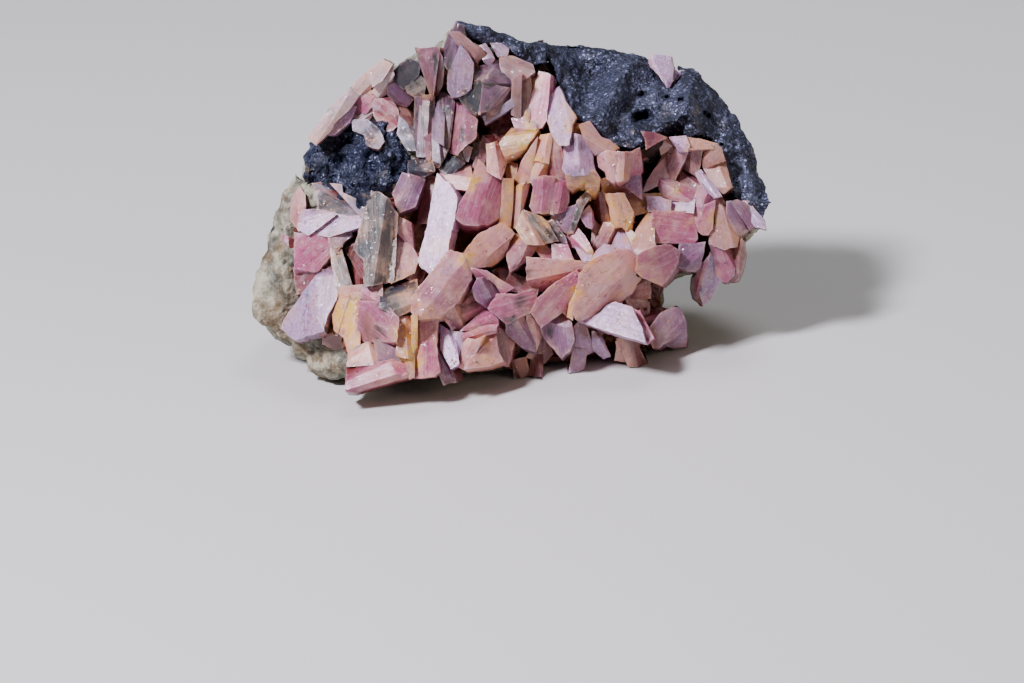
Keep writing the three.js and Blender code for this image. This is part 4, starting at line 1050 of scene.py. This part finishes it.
BARE_RIDGE = ((-25.4, 26.6), (-17.8, 34.2))  # where it is pale and not covered by blades
DRAWN_IN = 1.3  # mm that the rest of it is drawn in
BELOW_FACES = 1.8  # mm that it stays below the crystals' faces
massive = copy_of("inesite_crystals", "inesite_massive")
modify(massive, "REMESH", mode="VOXEL", voxel_size=0.5 * MM)
bare = []
normals = [vertex.normal.copy() for vertex in massive.data.vertices]
for vertex, normal in zip(massive.data.vertices, normals):
    across, up, out = face_place(vertex)
    # Bare up to 1.6 mm from the ridge, and not at all past 4.2 mm.
    bare.append(min(1.0, max(0.0, 1.6 - off_stretch((across, up), *BARE_RIDGE) / 2.6)))
    vertex.co -= normal * (DRAWN_IN - 1.1 * bare[-1]) * MM
    if bare[-1] < 0.5:
        vertex.co -= Vector(OUT) * max(0.0, out - face_out(across, up) + BELOW_FACES) * MM
add_attribute(massive.data, "bare", bare)
roughen(massive, "CLOUDS", 2.4, 1.0, noise_depth=2)
roughen(massive, "CLOUDS", 0.9, 0.6, noise_depth=3)
keep_above(massive, 0.0)


def shaded_broken_inesite(material):
    """Painted dark red as shade, and matt, where it lies deep, and fibrous, cream and brown along
    the bare ridge.
    """
    spot = add_node(material, "ShaderNodeTexCoord").outputs["Object"]
    # Cloudy patterns: the size of the patches in mm, detail, roughness.
    clouds, rust, grain = [
        add_node(material, "ShaderNodeTexNoise", {
            "Vector": spot, "Scale": 1 / (size * MM), "Detail": detail,
            "Roughness": rough}).outputs["Fac"]
        for size, detail, rough in ((3.3, 5.0, 0.6), (6, 5.0, 0.7), (1.1, 5.0, 0.6))]
    bare = add_node(material, "ShaderNodeAttribute", attribute_name="bare").outputs["Fac"]
    fibres = painted(material, linear("#B98577"), (
        ("#D9C0AC", (clouds, 0.4, 0.6)), ("#8C6E55", (rust, 0.5, 0.64, 0, 0.7))))
    # Painted shade: dark red for the gaps between the blades, with cloudy patches and rust.
    colour = painted(material, linear("#3B1214"), (
        ("#743634", (clouds, 0.35, 0.65)), ("#A8703F", (rust, 0.5, 0.62, 0, 0.8)),
        (fibres, (bare, 0.2, 0.8))))
    bumped = add_node(material, "ShaderNodeBump", {
        "Height": grain, "Strength": 0.5, "Distance": 0.3 * MM})
    return add_node(material, "ShaderNodeBsdfPrincipled", {
        "Base Color": colour, "Roughness": 0.5, "Normal": bumped.outputs["Normal"],
        "Subsurface Weight": 0.2, "Subsurface Radius": (1.0, 0.5, 0.4),
        "Subsurface Scale": 1.0 * MM})


massive.data.materials.append(new_material("shaded_broken_inesite", shaded_broken_inesite))
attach(massive, "root")
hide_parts("inesite_crystals")

# ---- Host rock -------------------------------------------------------------------------------
# Weathered, greenish cream and chalky, with brown stains and small black pits. Its underside
# stays flat, because it was cut there.
rock = copy_of("host_rock", "weathered_rock")
modify(rock, "REMESH", mode="VOXEL", voxel_size=0.42 * MM)
modify(rock, "DISPLACE", strength=0.25 * MM, mid_level=0.0)
roughen(rock, "CLOUDS", 6.0, 1.6, noise_depth=2)
roughen(rock, "VORONOI", 3.0, -0.9)
roughen(rock, "CLOUDS", 1.2, 0.8, noise_depth=5)
keep_above(rock, 0.0)

# It lies lower where crust or the bare ridge of inesite covers it.
COVERED_RIDGE = ((-25.4, 26.6), (-16.4, 35.6))
RIDGE_WIDTH = 3.6  # mm to either side of it
LOWERED = 1.1  # mm
BACK = -9  # mm out, behind which the rock is left as it is
for vertex in rock.data.vertices:
    across, up, out = face_place(vertex)
    if out < BACK:
        continue
    covers = [first_hit(tree, across, up) for tree in crust_trees]
    covered = any(cover is not None and cover > out - 0.6 for cover in covers)
    if covered or off_stretch((across, up), *COVERED_RIDGE) < RIDGE_WIDTH:
        vertex.co -= Vector(OUT) * LOWERED * MM

# Painted dark, as shade, where it shows through openings in the crust and under its rim:
# across, up, radius.
SHADED_UNDER_CRUST = table("""
3.4 37.5 2.6  8 36 1.6  16.2 29.8 1.8  16.2 32.9 1.2  24.3 30.4 1.2  19.4 32.6 1  21.2 32.2 1
10 27.5 3  14 26 3  19 27 3  24 27 3  4.5 34.5 2.4  10.2 33.6 2.8
""")
dark = []
for vertex in rock.data.vertices:
    across, up, out = face_place(vertex)
    gap = float((gaps_to(SHADED_UNDER_CRUST, across, up) / SHADED_UNDER_CRUST[:, 2]).min())
    # Painted shade over most of a spot's radius, and not at all past half as much again.
    dark.append(min(1.0, max(0.0, 2.4 - 1.6 * gap)) if out > -4 else 0.0)
add_attribute(rock.data, "dark", dark)


def weathered_host_rock(material):
    """Matt and crumbly: pale grains on a dark ground, brown stains and black pits, and painted
    shade where the crust is open above it.
    """
    spot = add_node(material, "ShaderNodeTexCoord").outputs["Object"]
    # Cloudy patterns: the size of the patches in mm, detail, roughness.
    ground, grain, stain, pitted, fleck = [
        add_node(material, "ShaderNodeTexNoise", {
            "Vector": spot, "Scale": 1 / (size * MM), "Detail": detail,
            "Roughness": rough}).outputs["Fac"]
        for size, detail, rough in (
            (9, 6.0, 0.65), (1.1, 4.0, 0.6), (5.2, 6.0, 0.7), (7, 3.0, 0.6), (2.2, 5.0, 0.75))]
    pits = add_node(material, "ShaderNodeTexVoronoi", {
        "Vector": spot, "Scale": 1 / (1.9 * MM)}).outputs["Distance"]
    dark = add_node(material, "ShaderNodeAttribute", attribute_name="dark").outputs["Fac"]
    colour = painted(material, linear("#2A2A22"), (
        ("#9C9A84", (ground, 0.36, 0.6)),
        ("#785A34", (stain, 0.5, 0.6, 0, 0.6)),
        ("#B9B49A", (fleck, 0.5, 0.62, 0, 0.6)),
        ("#38362A", (fleck, 0.46, 0.36, 0, 0.6)),
        ("#AEA99B", (grain, 0.4, 0.7, 0, 0.3)),
        ("#2B2823", (pits, 0.3, 0.16), (pitted, 0.48, 0.56)),
        # Painted shade where the crust is open above it.
        ("#2E1816", (dark, 0, 1)),
    ))
    bumped = add_node(material, "ShaderNodeBump", {
        "Height": grain, "Strength": 0.9, "Distance": 0.5 * MM})
    return add_node(material, "ShaderNodeBsdfPrincipled", {
        "Base Color": colour, "Roughness": 0.85, "Normal": bumped.outputs["Normal"]})


rock.data.materials.append(new_material("weathered_host_rock", weathered_host_rock))
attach(rock, "root")
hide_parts("host_rock")

# ---- Manganese oxide crust -------------------------------------------------------------------
# A dark blue-grey crust with a dull metallic shine, lumpy, pitted and full of small grains and
# painted bright glints. It roofs the top, and patches of it lie on the peak and the left shoulder.


def oxide_shader(material, deep, pale, grainy, glinting):
    """Two blue blacks with dust, pale grains and bright glints, the last two of a given strength.
    It is only half metallic, because the grains between the glints are dull."""
    spot = add_node(material, "ShaderNodeTexCoord").outputs["Object"]
    # Cloudy patterns: the size of the patches in mm, detail, roughness.
    clouds, grain, dust = [
        add_node(material, "ShaderNodeTexNoise", {
            "Vector": spot, "Scale": 1 / (size * MM), "Detail": detail,
            "Roughness": rough}).outputs["Fac"]
        for size, detail, rough in ((6.2, 6.0, 0.7), (0.7, 3.0, 0.6), (4.2, 5.0, 0.7))]
    glints = add_node(material, "ShaderNodeTexVoronoi", {
        "Vector": spot, "Scale": 1 / (0.3 * MM)}).outputs
    glint = add_node(material, "ShaderNodeSeparateColor", {
        "Color": glints["Color"]}).outputs["Red"]
    colour = painted(material, linear(deep), (
        (pale, (clouds, 0.32, 0.66)),
        ("#5A5E7A", (grain, 0.5, 0.72, 0, grainy)),
        ("#8D7C6C", (dust, 0.6, 0.7, 0, 0.4)),
        # Painted glints: bright specks in the colour.
        ("#868AAE", (glint, 0.84, 0.95, 0, glinting)),
    ))
    normal = add_node(material, "ShaderNodeBump", {
        "Height": grain, "Strength": 0.6, "Distance": 0.3 * MM}).outputs["Normal"]
    normal = add_node(material, "ShaderNodeBump", {
        "Height": glints["Distance"], "Strength": 0.5, "Distance": 0.2 * MM,
        "Normal": normal}).outputs["Normal"]
    rough = add_node(material, "ShaderNodeMapRange", {
        "Value": glint, "From Min": 0.5, "From Max": 0.9, "To Min": 0.52, "To Max": 0.34})
    return add_node(material, "ShaderNodeBsdfPrincipled", {
        "Base Color": colour, "Metallic": 0.45, "Normal": normal,
        "Roughness": rough.outputs["Result"]})


crust_oxide = new_material("manganese_oxide_crust", oxide_shader, deep="#0D0E15",
                           pale="#3A3E52", grainy=0.6, glinting=0.55)
knot_oxide = new_material("massive_manganese_oxide", oxide_shader, deep="#06080F",
                          pale="#232A42", grainy=0.35, glinting=0.25)

# Folds, dents and pits of the crust: across, up, radius and how far out, all in mm.
FOLDS = table("""
7.5 38.5 1.6 -.8  9.7 35.6 1.5 -.6  10.6 33.4 1.4 .4  16.4 32.9 .3 -3  15.8 29.9 .6 -5
16.7 30.1 .6 -5  24.1 30.6 .25 -2.4  24.6 30.3 .25 -2.2  19.4 32.6 .2 -1.6  21.2 32.2 .22 -1.8
14.5 30.6 1.5 -.9  20.2 29.3 1.5 -.7  25.5 29 1.4 -.9  27.8 24.5 1 -.6  31 19.5 .8 -.6
13.2 28.2 .8 -.7  5.7 35.8 1.4 .7  7.5 31.8 1.6 1  11.1 28.8 1.8 1.1  13.3 32.6 1.4 1
17.8 33.8 1.6 1  22.3 33.1 2.4 1.4  26.7 26.4 1.7 .8  29.8 22 1.4 .7  14.5 36.8 2 .8
11.5 37.6 1 .6  -3 41.5 1.2 .6  -.6 40 1 -.6  1.4 38.4 1 .6  -24.6 27.2 1.6 .9
-22.2 29.6 1.2 .6  -20.6 27 1 -1.2  -23.4 24.6 1.2 .9  -21.2 24.8 .9 -1.4  -19.4 25.2 1.1 .9
-17.6 23.4 1 -1.2  -19.6 22.4 1.3 .9  -22.4 22.6 .8 -1.2  -15.4 25 1.1 1.2  -14.6 22.8 .7 -.9
-25.4 24.6 .6 -.9
""", columns=4)
BROAD = 0.75  # mm, the radius above which it is a fold or dent and not a pit
FOLDS[FOLDS[:, 2] > BROAD, 3] *= 1.3


def fold(piece):
    """Pushes a crust out or in around each of the folds."""
    for vertex in piece.data.vertices:
        across, up, out = face_place(vertex)
        gap = (across - FOLDS[:, 0]) ** 2 + (up - FOLDS[:, 1]) ** 2
        push = float((FOLDS[:, 3] * np.exp(-gap / FOLDS[:, 2] ** 2)).sum())
        if out > 0 and abs(push) > 0.01:
            vertex.co += Vector(OUT * push * MM)


PEAK_ENDS = (-4.4, 1.8)  # across, where the crust of the peak starts to be drawn out


def draw_out(piece):
    """The crust of the peak reaches from the very top to a crack beside the roof, so its ends
    are drawn out by 1 mm on the left and 1.3 mm on the right."""
    for vertex in piece.data.vertices:
        across = face_place(vertex)[0]
        right = min(1.0, max(0.0, (across - PEAK_ENDS[1]) / 1.2))
        vertex.co += Vector(ACROSS * right * 1.3 * MM)
        left = min(1.0, max(0.0, (PEAK_ENDS[0] - across) / 1.6))
        vertex.co += Vector((UP * 0.3 - ACROSS) * left * MM)


# Where the roof is so thin that it needs a lump of oxide behind it: across, up, out.
BACKED = ((10.2, 33.0, 4.0), (10.7, 32.7, 4.6), (10.2, 32.2, 5.7))
LUMP = 1.25  # mm, its radius


def back_up(piece):
    """Joins a lump to a crust at each thin place; its remesh makes them one."""
    for place in BACKED:
        bpy.ops.mesh.primitive_uv_sphere_add(radius=LUMP * MM, location=on_face(*place) * MM)
        piece.select_set(True)
        bpy.context.view_layer.objects.active = piece
        bpy.ops.object.join()


for node, name, lump, fine, oxide in (
    ("crust_roof", "oxide_roof", 1.0, 0.3, crust_oxide),
    ("crust_peak", "oxide_peak", 0.8, 0.3, crust_oxide),
    ("dark_knot", "oxide_knot", 1.0, 0.15, knot_oxide),
):
    crust = copy_of(node, name)
    if node == "crust_roof":
        back_up(crust)
    modify(crust, "REMESH", mode="VOXEL", voxel_size=0.3 * MM)
    modify(crust, "DISPLACE", strength=-0.2 * MM, mid_level=0.0)
    fold(crust)
    if node == "crust_peak":
        draw_out(crust)
    roughen(crust, "CLOUDS", 2.6, 1.1 * lump, noise_depth=3)
    roughen(crust, "VORONOI", 1.2, -0.25 * lump)
    if node == "dark_knot":  # massive and broken in steps
        roughen(crust, "VORONOI", 3.0, -1.8, distance_metric="MANHATTAN")
    roughen(crust, "CLOUDS", 0.6, fine, noise_depth=3)
    keep_above(crust, 0.0)
    crust.data.materials.append(oxide)
    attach(crust, "root")
    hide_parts(node)
